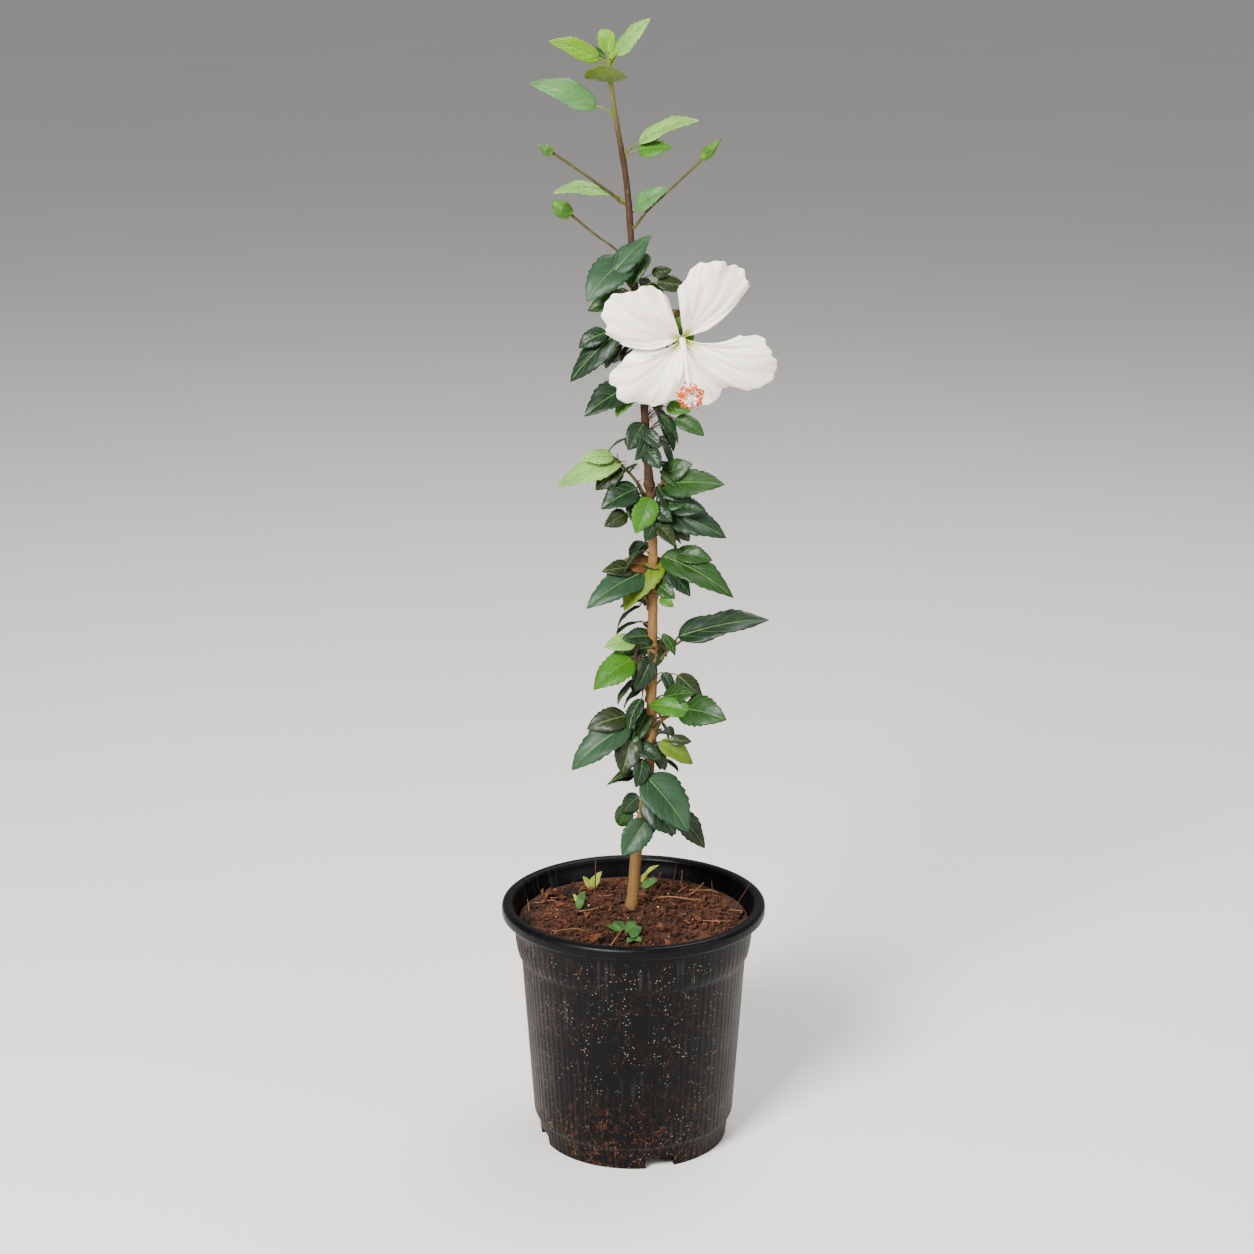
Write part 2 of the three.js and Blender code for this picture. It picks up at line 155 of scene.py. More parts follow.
class LeafSettings(bpy.types.PropertyGroup):
    rows: count("Rows", "Steps along a leaf", 32)
    columns: count("Columns", "Steps across a leaf", 12)
    thickness: length("Thickness", "Thickness of a leaf", 0.4)
    teeth: count("Teeth", "Teeth along each margin", 9)
    tooth: share("Tooth depth", "Depth of a tooth as a share of the half width", 0.13)
    veins: count("Veins", "Side veins on each half", 5)
    quilt: length("Quilting", "How far the leaf swells between its veins", 0.42)
    vein_width: length("Vein width", "Width of the midrib at its base", 1.0)
    inner: count("Inner leaves", "Small leaves close to the stem", 66)
    # The deep tint is partly the dark green of old leaves and partly painted shade, dealt to leaves that
    # lie in shadow.
    deep: colour("Deep leaf", "Old glossy leaf", (17, 35, 19))
    forest: colour("Forest leaf", "Full-grown leaf", (26, 52, 15))
    bright: colour("Bright leaf", "Fresh leaf", (46, 90, 10))
    # Painted shade: the olive tint is a darker copy of the leaf colour for leaves that lie in shade.
    olive: colour("Olive leaf", "Shaded leaf", (24, 32, 7))
    # Painted light: the moss tint is a lighter, yellower copy of the leaf colour for leaves lit from
    # behind.
    moss: colour("Moss leaf", "Leaf lit from behind", (76, 96, 10))
    # Painted reflection: the sage tint's grey-blue is the leaves' bluish sheen painted into their colour.
    sage: colour("Sage leaf", "Greyish leaf", (30, 56, 34))
    silver: colour("Silver leaf", "Grey-green young leaf", (64, 104, 54))
    pale: colour("Pale leaf", "Pale young leaf", (98, 136, 60))
    lime: colour("Lime leaf", "Yellow-green newest leaf", (88, 128, 0))
    bronze: colour("Bronze leaf", "Newest leaf of a side shoot", (84, 50, 20))
    midrib: colour("Midrib", "Midribs of the leaves", (88, 118, 56))
    side_vein: colour("Side vein", "Side veins of grown leaves", (56, 86, 40))
    young_side_vein: colour("Young side vein", "Side veins of pale leaves", (80, 116, 48))


class BloomSettings(bpy.types.PropertyGroup):
    rays: count("Rays", "Steps across a petal", 60)
    rows: count("Rows", "Steps along a petal", 46)
    cup: length("Cup", "How far the petals rise before they spread", 17)
    frill: length("Frill", "Height of the waves along a petal's margin", 2.4)
    crease: length("Crease", "Height of the soft folds along a petal", 0.9)
    thickness: length("Thickness", "Thickness of a petal", 0.5)
    filaments: count("Filaments", "Stamens on the column", 150)
    filament: length("Filament", "Length of a stamen", 8.5)
    anther: length("Anther", "Radius of an anther", 1.0)
    petal: colour("Petal", "Cream white of the petals", (254, 250, 240))
    # Painted shade: this warm colour stands for the shade in the petals' folds.
    petal_fold: colour("Petal fold", "Warm shade in the petals' folds", (236, 220, 184))
    eye: colour("Eye", "Green-yellow at the petals' claws", (168, 180, 70))
    column: colour("Column", "White of the stamen column", (250, 244, 236))
    anther_colour: colour("Anther colour", "Orange-peach anthers", (200, 80, 12))
    stigma: colour("Stigma", "Pale tips of the style", (250, 214, 190))
    sepal: colour("Sepal", "Green of calyx and buds", (40, 76, 12))
    sepal_rib: colour("Sepal rib", "Yellow-green ribs of calyx and buds", (70, 108, 22))


class StageSettings(bpy.types.PropertyGroup):
    distance: length("Camera distance", "From the camera to the pot's axis", 2012)
    height: length("Camera height", "Height of the camera", 977)
    sideways: FloatProperty(name="Camera sideways", description="Camera's place to the right",
                            unit="LENGTH", precision=5, default=-5 * MM)
    pitch: FloatProperty(name="Pitch", description="How far the camera looks down",
                         subtype="ANGLE", default=math.radians(15.72))
    lens: FloatProperty(name="Lens", description="Focal length in millimetres", default=80, min=1)
    floor: colour("Floor", "Pale floor", (226, 222, 216))
    air: colour("Air", "Soft light from all round", (236, 238, 242))
    air_strength: share("Air strength", "Strength of the light from all round", 0.42)


# ---------------------------------------------------------------- materials

class Finish:
    """A material built up node by node. Its patterns read Object coordinates."""

    def __init__(self, name, roughness, **constants):
        self.material = bpy.data.materials.new(name)
        self.material.use_nodes = True
        self.nodes = self.material.node_tree.nodes
        self.links = self.material.node_tree.links
        self.shader = self.nodes["Principled BSDF"]
        self.shader.inputs["Roughness"].default_value = roughness
        self.shader.inputs["Specular IOR Level"].default_value = 0.22
        for words, value in constants.items():
            self.shader.inputs[words.replace("_", " ")].default_value = value
        self.place = self.nodes.new("ShaderNodeTexCoord").outputs["Object"]

    def stretched(self, factors, place=None):
        mapping = self.nodes.new("ShaderNodeMapping")
        mapping.inputs["Scale"].default_value = factors
        self.links.new(place or self.place, mapping.inputs["Vector"])
        return mapping.outputs["Vector"]

    def noise(self, scale, detail=3.0, place=None):
        pattern = self.nodes.new("ShaderNodeTexNoise")
        pattern.inputs["Scale"].default_value = scale
        pattern.inputs["Detail"].default_value = detail
        self.links.new(place or self.place, pattern.inputs["Vector"])
        return pattern.outputs["Fac"]

    def cells(self, scale, place=None):
        pattern = self.nodes.new("ShaderNodeTexVoronoi")
        pattern.inputs["Scale"].default_value = scale
        self.links.new(place or self.place, pattern.inputs["Vector"])
        return pattern.outputs["Distance"]

    def part(self, axis, place=None):
        split = self.nodes.new("ShaderNodeSeparateXYZ")
        self.links.new(place or self.place, split.inputs["Vector"])
        return split.outputs[axis]

    def math(self, operation, first, second=0.0):
        node = self.nodes.new("ShaderNodeMath")
        node.operation = operation
        for socket, value in zip(node.inputs, (first, second)):
            if isinstance(value, (int, float)):
                socket.default_value = value
            else:
                self.links.new(value, socket)
        return node.outputs[0]

    def times(self, first, second):
        return self.math("MULTIPLY", first, second)

    def between(self, value, low, high):
        """0 up to low, 1 from high on, and smooth between them."""
        node = self.nodes.new("ShaderNodeMapRange")
        node.interpolation_type = "SMOOTHSTEP"
        node.inputs["From Min"].default_value = low
        node.inputs["From Max"].default_value = high
        self.links.new(value, node.inputs["Value"])
        return node.outputs["Result"]

    def mix(self, factor, first, second):
        node = self.nodes.new("ShaderNodeMix")
        node.data_type = "RGBA"
        for name, value in (("Factor", factor), ("A", first), ("B", second)):
            socket = next(s for s in node.inputs if s.name == name and s.enabled)
            if isinstance(value, bpy.types.NodeSocket):
                self.links.new(value, socket)
            elif name == "Factor":
                socket.default_value = value
            else:
                socket.default_value = (*value, 1)
        return next(s for s in node.outputs if s.enabled)

    def paint(self, value):
        self.links.new(value, self.shader.inputs["Base Color"])

    def rough(self, value, low, high):
        """Roughness between low and high as a pattern runs from 0 to 1."""
        node = self.nodes.new("ShaderNodeMapRange")
        node.inputs["To Min"].default_value = low
        node.inputs["To Max"].default_value = high
        self.links.new(value, node.inputs["Value"])
        self.links.new(node.outputs["Result"], self.shader.inputs["Roughness"])

    def bump(self, height, distance, strength=1.0):
        node = self.nodes.new("ShaderNodeBump")
        node.inputs["Distance"].default_value = distance
        node.inputs["Strength"].default_value = strength
        self.links.new(height, node.inputs["Height"])
        self.links.new(node.outputs["Normal"], self.shader.inputs["Normal"])


def scaled(rgb, factor):
    return tuple(min(1.0, c * factor) for c in rgb)


def plastic_finish(pot):
    """Black moulded plastic, finely ribbed, with pale grit, thin root marks and dry mud low down."""
    finish = Finish("nursery pot plastic", 0.4, Specular_IOR_Level=0.12)
    turn = finish.math("ARCTAN2", finish.part("Y"), finish.part("X"))
    wrapped = finish.nodes.new("ShaderNodeCombineXYZ")
    finish.links.new(finish.times(turn, 0.085), wrapped.inputs["X"])
    finish.links.new(finish.part("Z"), wrapped.inputs["Y"])
    skin = wrapped.outputs["Vector"]
    cloud = finish.noise(26, 4)
    on_body = finish.between(finish.part("Z"), 0.181, 0.168)
    low = finish.between(finish.part("Z"), 0.075, 0.0)
    left = finish.between(finish.part("X"), -0.05, -0.09)
    dirty = finish.times(finish.math("MAXIMUM", low, left), on_body)

    streaks = finish.noise(330, 4, finish.stretched((1, 0.06, 1), skin))
    marks = finish.times(finish.between(streaks, 0.56, 0.7), finish.between(cloud, 0.4, 0.62))
    body = finish.mix(finish.times(marks, 0.35), pot.plastic, pot.scuff)

    waves = finish.noise(150, 2, finish.stretched((1, 0.4, 1), skin))
    thread = finish.between(finish.math("ABSOLUTE", finish.math("SUBTRACT", waves, 0.5)), 0.01, 0.002)
    thread = finish.times(thread, finish.between(finish.noise(60, 2), 0.5, 0.6))
    amount = finish.math("ADD", finish.times(dirty, 0.6), 0.2)
    thin = finish.times(finish.times(thread, amount), on_body)
    body = finish.mix(thin, body, scaled(pot.mud, 1.7))

    dots = finish.between(finish.cells(460), 0.2, 0.11)
    strewn = finish.between(finish.noise(70, 3), 0.42, 0.56)
    dots = finish.times(finish.times(dots, strewn), on_body)
    kinds = finish.between(finish.noise(120, 2), 0.45, 0.55)
    grain = finish.mix(kinds, pot.grit, scaled(pot.mud, 1.9))
    body = finish.mix(finish.times(dots, 0.9), body, grain)

    crust = finish.times(dirty, finish.between(finish.noise(420, 5), 0.54, 0.68))
    finish.paint(finish.mix(finish.times(crust, 0.75), body, pot.mud))
    finish.rough(finish.math("MAXIMUM", cloud, finish.times(dirty, 0.9)), 0.22, 0.6)
    ribs = finish.math("SINE", finish.times(turn, 96.0))
    relief = finish.times(finish.times(ribs, on_body), 0.35)
    finish.bump(finish.math("ADD", relief, finish.math("ADD", streaks, dots)), 0.0005, 0.5)
    return finish.material


def earth_finish(soil, name, lift=1.0):
    """Crumbly red-brown soil, darker where it is damp."""
    finish = Finish(name, 0.95)
    lumps = finish.noise(210, 6)
    damp = finish.between(finish.noise(45, 3), 0.35, 0.62)
    base = finish.mix(damp, scaled(soil.shade, lift), scaled(soil.earth, lift))
    grains = finish.between(finish.noise(900, 3), 0.4, 0.66)
    finish.paint(finish.mix(finish.times(grains, 0.55), base, scaled(soil.earth, 1.7 * lift)))
    finish.bump(lumps, 0.0016, 0.9)
    return finish.material


def plain_finish(name, rgb, roughness, scale=120.0, spread=0.28, depth=0.0002, **constants):
    """One colour that wanders a little lighter and darker, with a fine grain."""
    finish = Finish(name, roughness, **constants)
    wander = finish.between(finish.noise(scale, 4), 0.3, 0.7)
    finish.paint(finish.mix(wander, scaled(rgb, 1 - spread), scaled(rgb, 1 + spread)))
    finish.bump(finish.noise(scale * 6, 3), depth, 0.5)
    return finish.material


def leaf_finish(name, rgb, roughness, coat):
    """A leaf's skin: mottled in two scales, with a waxy coat."""
    finish = Finish(name, roughness, Coat_Weight=coat, Coat_Roughness=0.3)
    broad = finish.between(finish.noise(38, 2), 0.32, 0.68)
    body = finish.mix(broad, scaled(rgb, 0.78), scaled(rgb, 1.22))
    fine = finish.between(finish.noise(520, 3), 0.35, 0.7)
    finish.paint(finish.mix(finish.times(fine, 0.3), body, scaled(rgb, 1.5)))
    finish.rough(finish.noise(160, 3), roughness - 0.12, roughness + 0.14)
    finish.bump(finish.noise(700, 3), 0.00025, 0.45)
    return finish.material


def bark_finish(stem):
    """Bark that goes from tan through umber to green with height, streaked along the stem. The umber band
    is partly painted shade from the leaves round the upper stem.
    """
    finish = Finish("hibiscus bark", 0.8)
    height = finish.part("Z")
    # Painted shade, in part: the stem turns dark umber where it runs among the leaves.
    low = finish.mix(finish.between(height, 0.485, 0.525), stem.tan, stem.umber)
    base = finish.mix(finish.between(height, 0.76, 0.815), low, stem.green)
    along = finish.stretched((1, 1, 0.1))
    streaks = finish.between(finish.noise(620, 4, along), 0.36, 0.68)
    streaked = finish.mix(streaks, stem.scar, base)
    half = finish.mix(0.6, streaked, base)
    pores = finish.between(finish.cells(240, finish.stretched((1, 1, 0.45))), 0.16, 0.05)
    patches = finish.between(finish.noise(60, 3), 0.5, 0.7)
    marked = finish.mix(finish.times(patches, 0.3), half, stem.scar)
    finish.paint(finish.mix(finish.times(pores, 0.4), marked, scaled(stem.tan, 1.35)))
    finish.bump(finish.math("ADD", streaks, pores), 0.0003, 0.5)
    return finish.material


def petal_finish(bloom):
    """Thin cream petals with painted warm shade in streaks along their folds, and a green-yellow eye at the
    claw.
    """
    finish = Finish("hibiscus petal", 0.62, Subsurface_Weight=0.1)
    finish.shader.inputs["Subsurface Radius"].default_value = (0.002, 0.0018, 0.0014)
    finish.shader.inputs["Subsurface Scale"].default_value = 1.0
    layout = finish.nodes.new("ShaderNodeTexCoord").outputs["UV"]
    rays = finish.noise(9, 4, finish.stretched((5, 0.3, 1), layout))
    # Painted shade: the streaks of warm colour stand for the shade in the folds.
    folds = finish.between(rays, 0.3, 0.6)
    body = finish.mix(folds, bloom.petal_fold, bloom.petal)
    claw = finish.between(finish.part("Y", layout), 0.22, 0.03)
    finish.paint(finish.mix(claw, body, bloom.eye))
    finish.bump(rays, 0.0003, 0.5)
    return finish.material


# ---------------------------------------------------------------- shaping

def deselect():
    """Nothing is selected, and the next operator acts only on what it makes."""
    if bpy.context.object and bpy.context.object.mode != "OBJECT":
        bpy.ops.object.mode_set(mode="OBJECT")
    bpy.ops.object.select_all(action="DESELECT")


def pick(piece):
    deselect()
    piece.select_set(True)
    bpy.context.view_layer.objects.active = piece


def settle(piece, name, nodes=(), finishes=(), smooth=None):
    """Puts a finished piece's place in its mesh, and gives it its name, finish and body."""
    pick(piece)
    bpy.ops.object.transform_apply(location=True, rotation=True, scale=True)
    piece.name = name
    piece.data.name = name
    if finishes:
        piece.data.materials.clear()
        for finish in finishes:
            piece.data.materials.append(finish)
    if smooth is None:
        bpy.ops.object.shade_smooth()
    elif smooth > 0:
        bpy.ops.object.shade_smooth_by_angle(angle=smooth)
    if nodes:
        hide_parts(*nodes)
    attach(piece, "root")
    return piece


def settle_bundle(bundle, name, finish, smooth=None):
    """Makes a bundle a finished piece that replaces no CAD node."""
    settle(bundle.build(name), name, (), [finish], smooth)


def apply_modifier(piece, kind, **values):
    pick(piece)
    modifier = piece.modifiers.new(kind.lower(), kind)
    for name, value in values.items():
        setattr(modifier, name, value)
    bpy.ops.object.modifier_apply(modifier=modifier.name)


def unit(vector):
    return vector / np.linalg.norm(vector)


def node_points(node):
    """The distinct corners of a CAD node."""
    corners = np.array([v.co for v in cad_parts[node].data.vertices])
    return np.unique(np.round(corners, 6), axis=0)


def smooth_rows(rows, steps):
    """Rows of numbers made into more rows on a smooth curve through them all."""
    rows = np.asarray(rows, float)
    padded = np.vstack([2 * rows[0] - rows[1], rows, 2 * rows[-1] - rows[-2]])
    spot = np.linspace(0, len(rows) - 1, steps)
    first = np.minimum(spot.astype(int), len(rows) - 2)
    t = (spot - first)[:, None]
    a, b, c, d = (padded[first + k] for k in range(4))
    return 0.5 * (2 * b + (c - a) * t + (2 * a - 5 * b + 4 * c - d) * t**2 + (3 * b - a - 3 * c + d) * t**3)


def limb_rows(node, foot):
    """Rows of x, y, z and radius along a CAD limb, from the end that lies nearer to foot."""
    points = node_points(node)
    middle = points.mean(axis=0)
    along = np.linalg.svd(points - middle, full_matrices=False)[2][0]
    place = (points - middle) @ along
    order = np.argsort(place)
    breaks = np.where(np.diff(place[order]) > RING_GAP)[0] + 1
    rings = np.split(points[order], breaks)
    rows = np.array([[*ring.mean(axis=0), np.linalg.norm(ring - ring.mean(axis=0), axis=1).mean()]
                     for ring in rings if len(ring) > 2])
    if np.linalg.norm(rows[0][:3] - foot) > np.linalg.norm(rows[-1][:3] - foot):
        rows = rows[::-1]
    return rows


STEM_ROWS = limb_rows("main_stem", np.zeros(3))


def stem_at(height):
    """The stem's axis and radius at a height."""
    return np.array([np.interp(height, STEM_ROWS[:, 2], STEM_ROWS[:, k]) for k in range(4)])


def drawn_limb(rows, roundness):
    """A tapering limb: a curve with a round section through the rows, made a closed mesh."""
    deselect()
    bpy.ops.curve.primitive_bezier_curve_add()
    limb = bpy.context.object
    curve = limb.data
    curve.splines.clear()
    spline = curve.splines.new("POLY")
    spline.points.add(len(rows) - 1)
    for point, row in zip(spline.points, rows):
        point.co = (*row[:3], 1)
        point.radius = row[3]
    curve.dimensions = "3D"
    curve.bevel_depth = 1
    curve.bevel_resolution = roundness
    curve.use_fill_caps = True
    bpy.ops.object.convert(target="MESH")
    return bpy.context.object


def turned(profile, sides):
    """A closed shell turned about Z: a circle is extruded and resized along [radius, height] steps."""
    deselect()
    radius, height = profile[0]
    bpy.ops.mesh.primitive_circle_add(vertices=sides, radius=radius, location=(0, 0, height))
    shell = bpy.context.object
    bpy.ops.object.mode_set(mode="EDIT")
    bpy.ops.mesh.select_mode(type="VERT")
    bpy.ops.mesh.select_all(action="SELECT")
    bpy.ops.mesh.edge_face_add()
    bpy.ops.mesh.select_mode(type="VERT")
    for to_radius, to_height in profile[1:]:
        bpy.ops.mesh.extrude_region_move(TRANSFORM_OT_translate={"value": (0, 0, to_height - height)})
        growth = to_radius / radius
        bpy.ops.transform.resize(value=(growth, growth, 1))
        radius, height = to_radius, to_height
    bpy.ops.mesh.select_all(action="SELECT")
    bpy.ops.mesh.normals_make_consistent(inside=False)
    bpy.ops.object.mode_set(mode="OBJECT")
    return shell


def arc(centre, radius, start, end, steps):
    """Points on a round corner of a profile, from one angle in degrees to another."""
    angles = np.radians(np.linspace(start, end, steps))
    return [(centre[0] + radius * math.cos(a), centre[1] + radius * math.sin(a)) for a in angles]


def heading(turn, slope):
    """A direction from its bearing and its rise."""
    return np.array([math.cos(turn) * math.cos(slope), math.sin(turn) * math.cos(slope), math.sin(slope)])


class Bundle:
    """Many small shapes gathered into one mesh."""

    def __init__(self):
        self.points = []
        self.faces = []
        self.total = 0

    def add(self, points, faces):
        self.points.append(np.asarray(points, float))
        self.faces.append(np.asarray(faces, int) + self.total)
        self.total += len(points)

    def build(self, name):
        mesh = bpy.data.meshes.new(name)
        faces = [tuple(face) for block in self.faces for face in block.tolist()]
        mesh.from_pydata(np.vstack(self.points).tolist(), [], faces)
        piece = bpy.data.objects.new(name, mesh)
        bpy.context.scene.collection.objects.link(piece)
        pick(piece)
        bpy.ops.object.mode_set(mode="EDIT")
        bpy.ops.mesh.select_all(action="SELECT")
        bpy.ops.mesh.remove_doubles(threshold=0.00001)
        bpy.ops.mesh.normals_make_consistent(inside=False)
        bpy.ops.object.mode_set(mode="OBJECT")
        return piece


def tube(path, radii, sides):
    """Points and triangles of a thin closed tube along a path."""
    path = np.asarray(path, float)
    along = np.gradient(path, axis=0)
    along /= np.linalg.norm(along, axis=1)[:, None]
    side = unit(np.cross(along[0], [0.31, 0.77, 0.55]))
    angles = np.arange(sides) * 2 * math.pi / sides
    points = []
    for spot, way, radius in zip(path, along, radii):
        side = unit(side - way * (side @ way))
        lift = np.cross(way, side)
        points.append(spot + radius * (np.outer(np.cos(angles), side) + np.outer(np.sin(angles), lift)))
    faces = []
    for row in range(len(path) - 1):
        for k in range(sides):
            a, b = row * sides + k, row * sides + (k + 1) % sides
            faces += [(a, b, b + sides), (a, b + sides, a + sides)]
    last = len(path) * sides
    for k in range(sides):
        faces += [(last, (k + 1) % sides, k), (last + 1, last - sides + k, last - sides + (k + 1) % sides)]
    return np.vstack([*points, path[0][None], path[-1][None]]), faces


def bent(start, end, leave, arrive, steps):
    """A path from start to end that leaves along one direction and arrives along another."""
    reach = np.linalg.norm(end - start) * 0.42
    t = np.linspace(0, 1, steps)[:, None]
    first, second = start + leave * reach, end - arrive * reach
    return (1 - t)**3 * start + 3 * (1 - t)**2 * t * first + 3 * (1 - t) * t**2 * second + t**3 * end


@cache
def ball():
    """Points and faces of a small round primitive, to be copied many times."""
    deselect()
    bpy.ops.mesh.primitive_ico_sphere_add(subdivisions=1, radius=1)
    pattern = bpy.context.object
    points = np.array([v.co for v in pattern.data.vertices])
    faces = np.array([p.vertices[:] for p in pattern.data.polygons])
    bpy.data.objects.remove(pattern)
    return points, faces


# ---------------------------------------------------------------- pot and soil

class HIBISCUS_OT_pot(bpy.types.Operator):
    """Turn the pot's shell, cut its drain notches and finish it in black plastic"""
    bl_idname = "hibiscus.pot"
    bl_label = "Nursery pot"

    def execute(self, context):
        pot = context.scene.hibiscus_pot
        shell = turned(self.profile(pot), pot.sides)
        for turn in range(pot.notches):
            bearing = pot.notch_turn + turn * 2 * math.pi / pot.notches
            self.cut(shell, pot, bearing)
        settle(shell, "nursery_pot", ["pot"], [plastic_finish(pot)], math.radians(32))
        return {"FINISHED"}

    @staticmethod
    def profile(pot):
        rim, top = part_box("pot")[1].x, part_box("pot")[1].z
        wall = pot.wall
        under_lip = top - pot.lip_height
        collar_top = rim - pot.lip_overhang
        collar_foot = under_lip - pot.collar
        body_top = collar_top - pot.collar_flare - pot.collar_step
        foot_top = pot.foot_radius + pot.foot_flare
        inside = rim - pot.lip_inside
        outer = [
            (pot.foot_radius - pot.foot_ring, pot.base), (pot.foot_radius - pot.foot_ring, 0.6 * MM),
            (pot.foot_radius - pot.foot_ring + 0.6 * MM, 0), (pot.foot_radius - 0.7 * MM, 0),
            (pot.foot_radius, 0.8 * MM), (foot_top - 0.2 * MM, pot.foot_band - 1.4 * MM),
            (foot_top + 0.5 * MM, pot.foot_band), (pot.body_foot_radius - 1.2 * MM, pot.foot_band + 2 * MM),
            (pot.body_foot_radius - 0.4 * MM, pot.foot_band + 4 * MM),
            (pot.body_foot_radius, pot.body_foot), (body_top - 0.5 * MM, collar_foot - 5 * MM),
            (body_top, collar_foot - 1.6 * MM), (body_top + 0.5 * MM, collar_foot - 0.6 * MM),
            (body_top + pot.collar_step - 0.4 * MM, collar_foot),
            (body_top + pot.collar_step + 0.1 * MM, collar_foot + 1 * MM),
            (collar_top - 1.7 * MM, collar_foot + 6 * MM), (collar_top - 0.7 * MM, collar_foot + 13 * MM),
            (collar_top - 0.1 * MM, under_lip - 3 * MM), (collar_top + 0.3 * MM, under_lip - 0.6 * MM),
            (collar_top + 1.1 * MM, under_lip),
        ]
        lip = arc((rim - 2.2 * MM, under_lip + 2.4 * MM), 2.2 * MM, -80, 0, 5)
        lip += arc((rim - 3.6 * MM, top - 3.6 * MM), 3.6 * MM, 6, 90, 8)
        lip += arc((inside + 3.2 * MM, top - 3.2 * MM), 3.2 * MM, 96, 180, 6)
        inner = [
            (inside - 0.6 * MM, under_lip + 1.5 * MM), (collar_top - wall, under_lip - 2 * MM),
            (collar_top - 1.7 * MM - wall, collar_foot + 6 * MM),
            (body_top + pot.collar_step - wall, collar_foot),
            (body_top - wall, collar_foot - 4 * MM), (pot.body_foot_radius - wall, pot.body_foot),
            (foot_top - wall, pot.foot_band), (foot_top - wall - 0.6 * MM, pot.base + 2 * MM),
        ]
        return outer + lip + inner

    @staticmethod
    def cut(shell, pot, bearing):
        """One drain notch in the foot, with rounded upper corners, and the slot behind it."""
        for reach, deep, wide, low, high in (
                (pot.foot_radius - 1 * MM, 22 * MM, pot.notch_width, -pot.notch_height, pot.notch_height),
                (pot.foot_radius - 12.5 * MM, 7 * MM, 18 * MM, 6 * MM, 16 * MM)):
            deselect()
            place = (reach * math.cos(bearing), reach * math.sin(bearing), (low + high) / 2)
            bpy.ops.mesh.primitive_cube_add(size=1, location=place, rotation=(0, 0, bearing),
                                            scale=(deep, wide, high - low))
            cutter = bpy.context.object
            bpy.ops.object.transform_apply(location=False, rotation=False, scale=True)
            apply_modifier(cutter, "BEVEL", width=2.4 * MM, segments=4)
            apply_modifier(shell, "BOOLEAN", object=cutter, operation="DIFFERENCE", solver="EXACT")
            bpy.data.objects.remove(cutter)


def soil_height(soil, x, y):
    """Height of the soil's top, without its crumbs."""
    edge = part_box("soil")[1].x
    share_out = min(1.0, math.hypot(x, y) / edge)
    waves = noise.noise(Vector((x * 38, y * 38, 3.1))) * 2.6
    waves += noise.noise(Vector((x * 110, y * 110, 7.7))) * 1.2
    mound = soil.mound * (1 - share_out**0.7)
    return soil.edge + mound + waves * MM * min(1.0, (1 - share_out) * 8)


class HIBISCUS_OT_soil(bpy.types.Operator):
    """Fill the pot with soil, mounded at the stem, and roughen its top"""
    bl_idname = "hibiscus.soil"
    bl_label = "Soil"

    def execute(self, context):
        soil = context.scene.hibiscus_soil
        low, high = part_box("soil")
        edge = high.x
        foot = edge - 17.4 * MM
        top = [(edge * (1 - ring / soil.rings), soil.edge) for ring in range(soil.rings)]
        profile = [(foot, low.z), (foot, low.z + 5 * MM), (foot + 3.4 * MM, low.z + 14 * MM),
                   (edge - 4.5 * MM, 145 * MM), (edge - 2.6 * MM, 151 * MM), (edge, 172 * MM)]
        bed = turned(profile + top, soil.sides)
        for vertex in bed.data.vertices:
            place = vertex.co
            if place.z > soil.edge - 1 * MM:
                rough = noise.fractal(place * 330, 0.8, 2.2, 4) * 1.5 * MM
                place.z = soil_height(soil, place.x, place.y) + rough
        settle(bed, "soil_bed", ["soil"], [earth_finish(soil, "potting soil")])
        return {"FINISHED"}


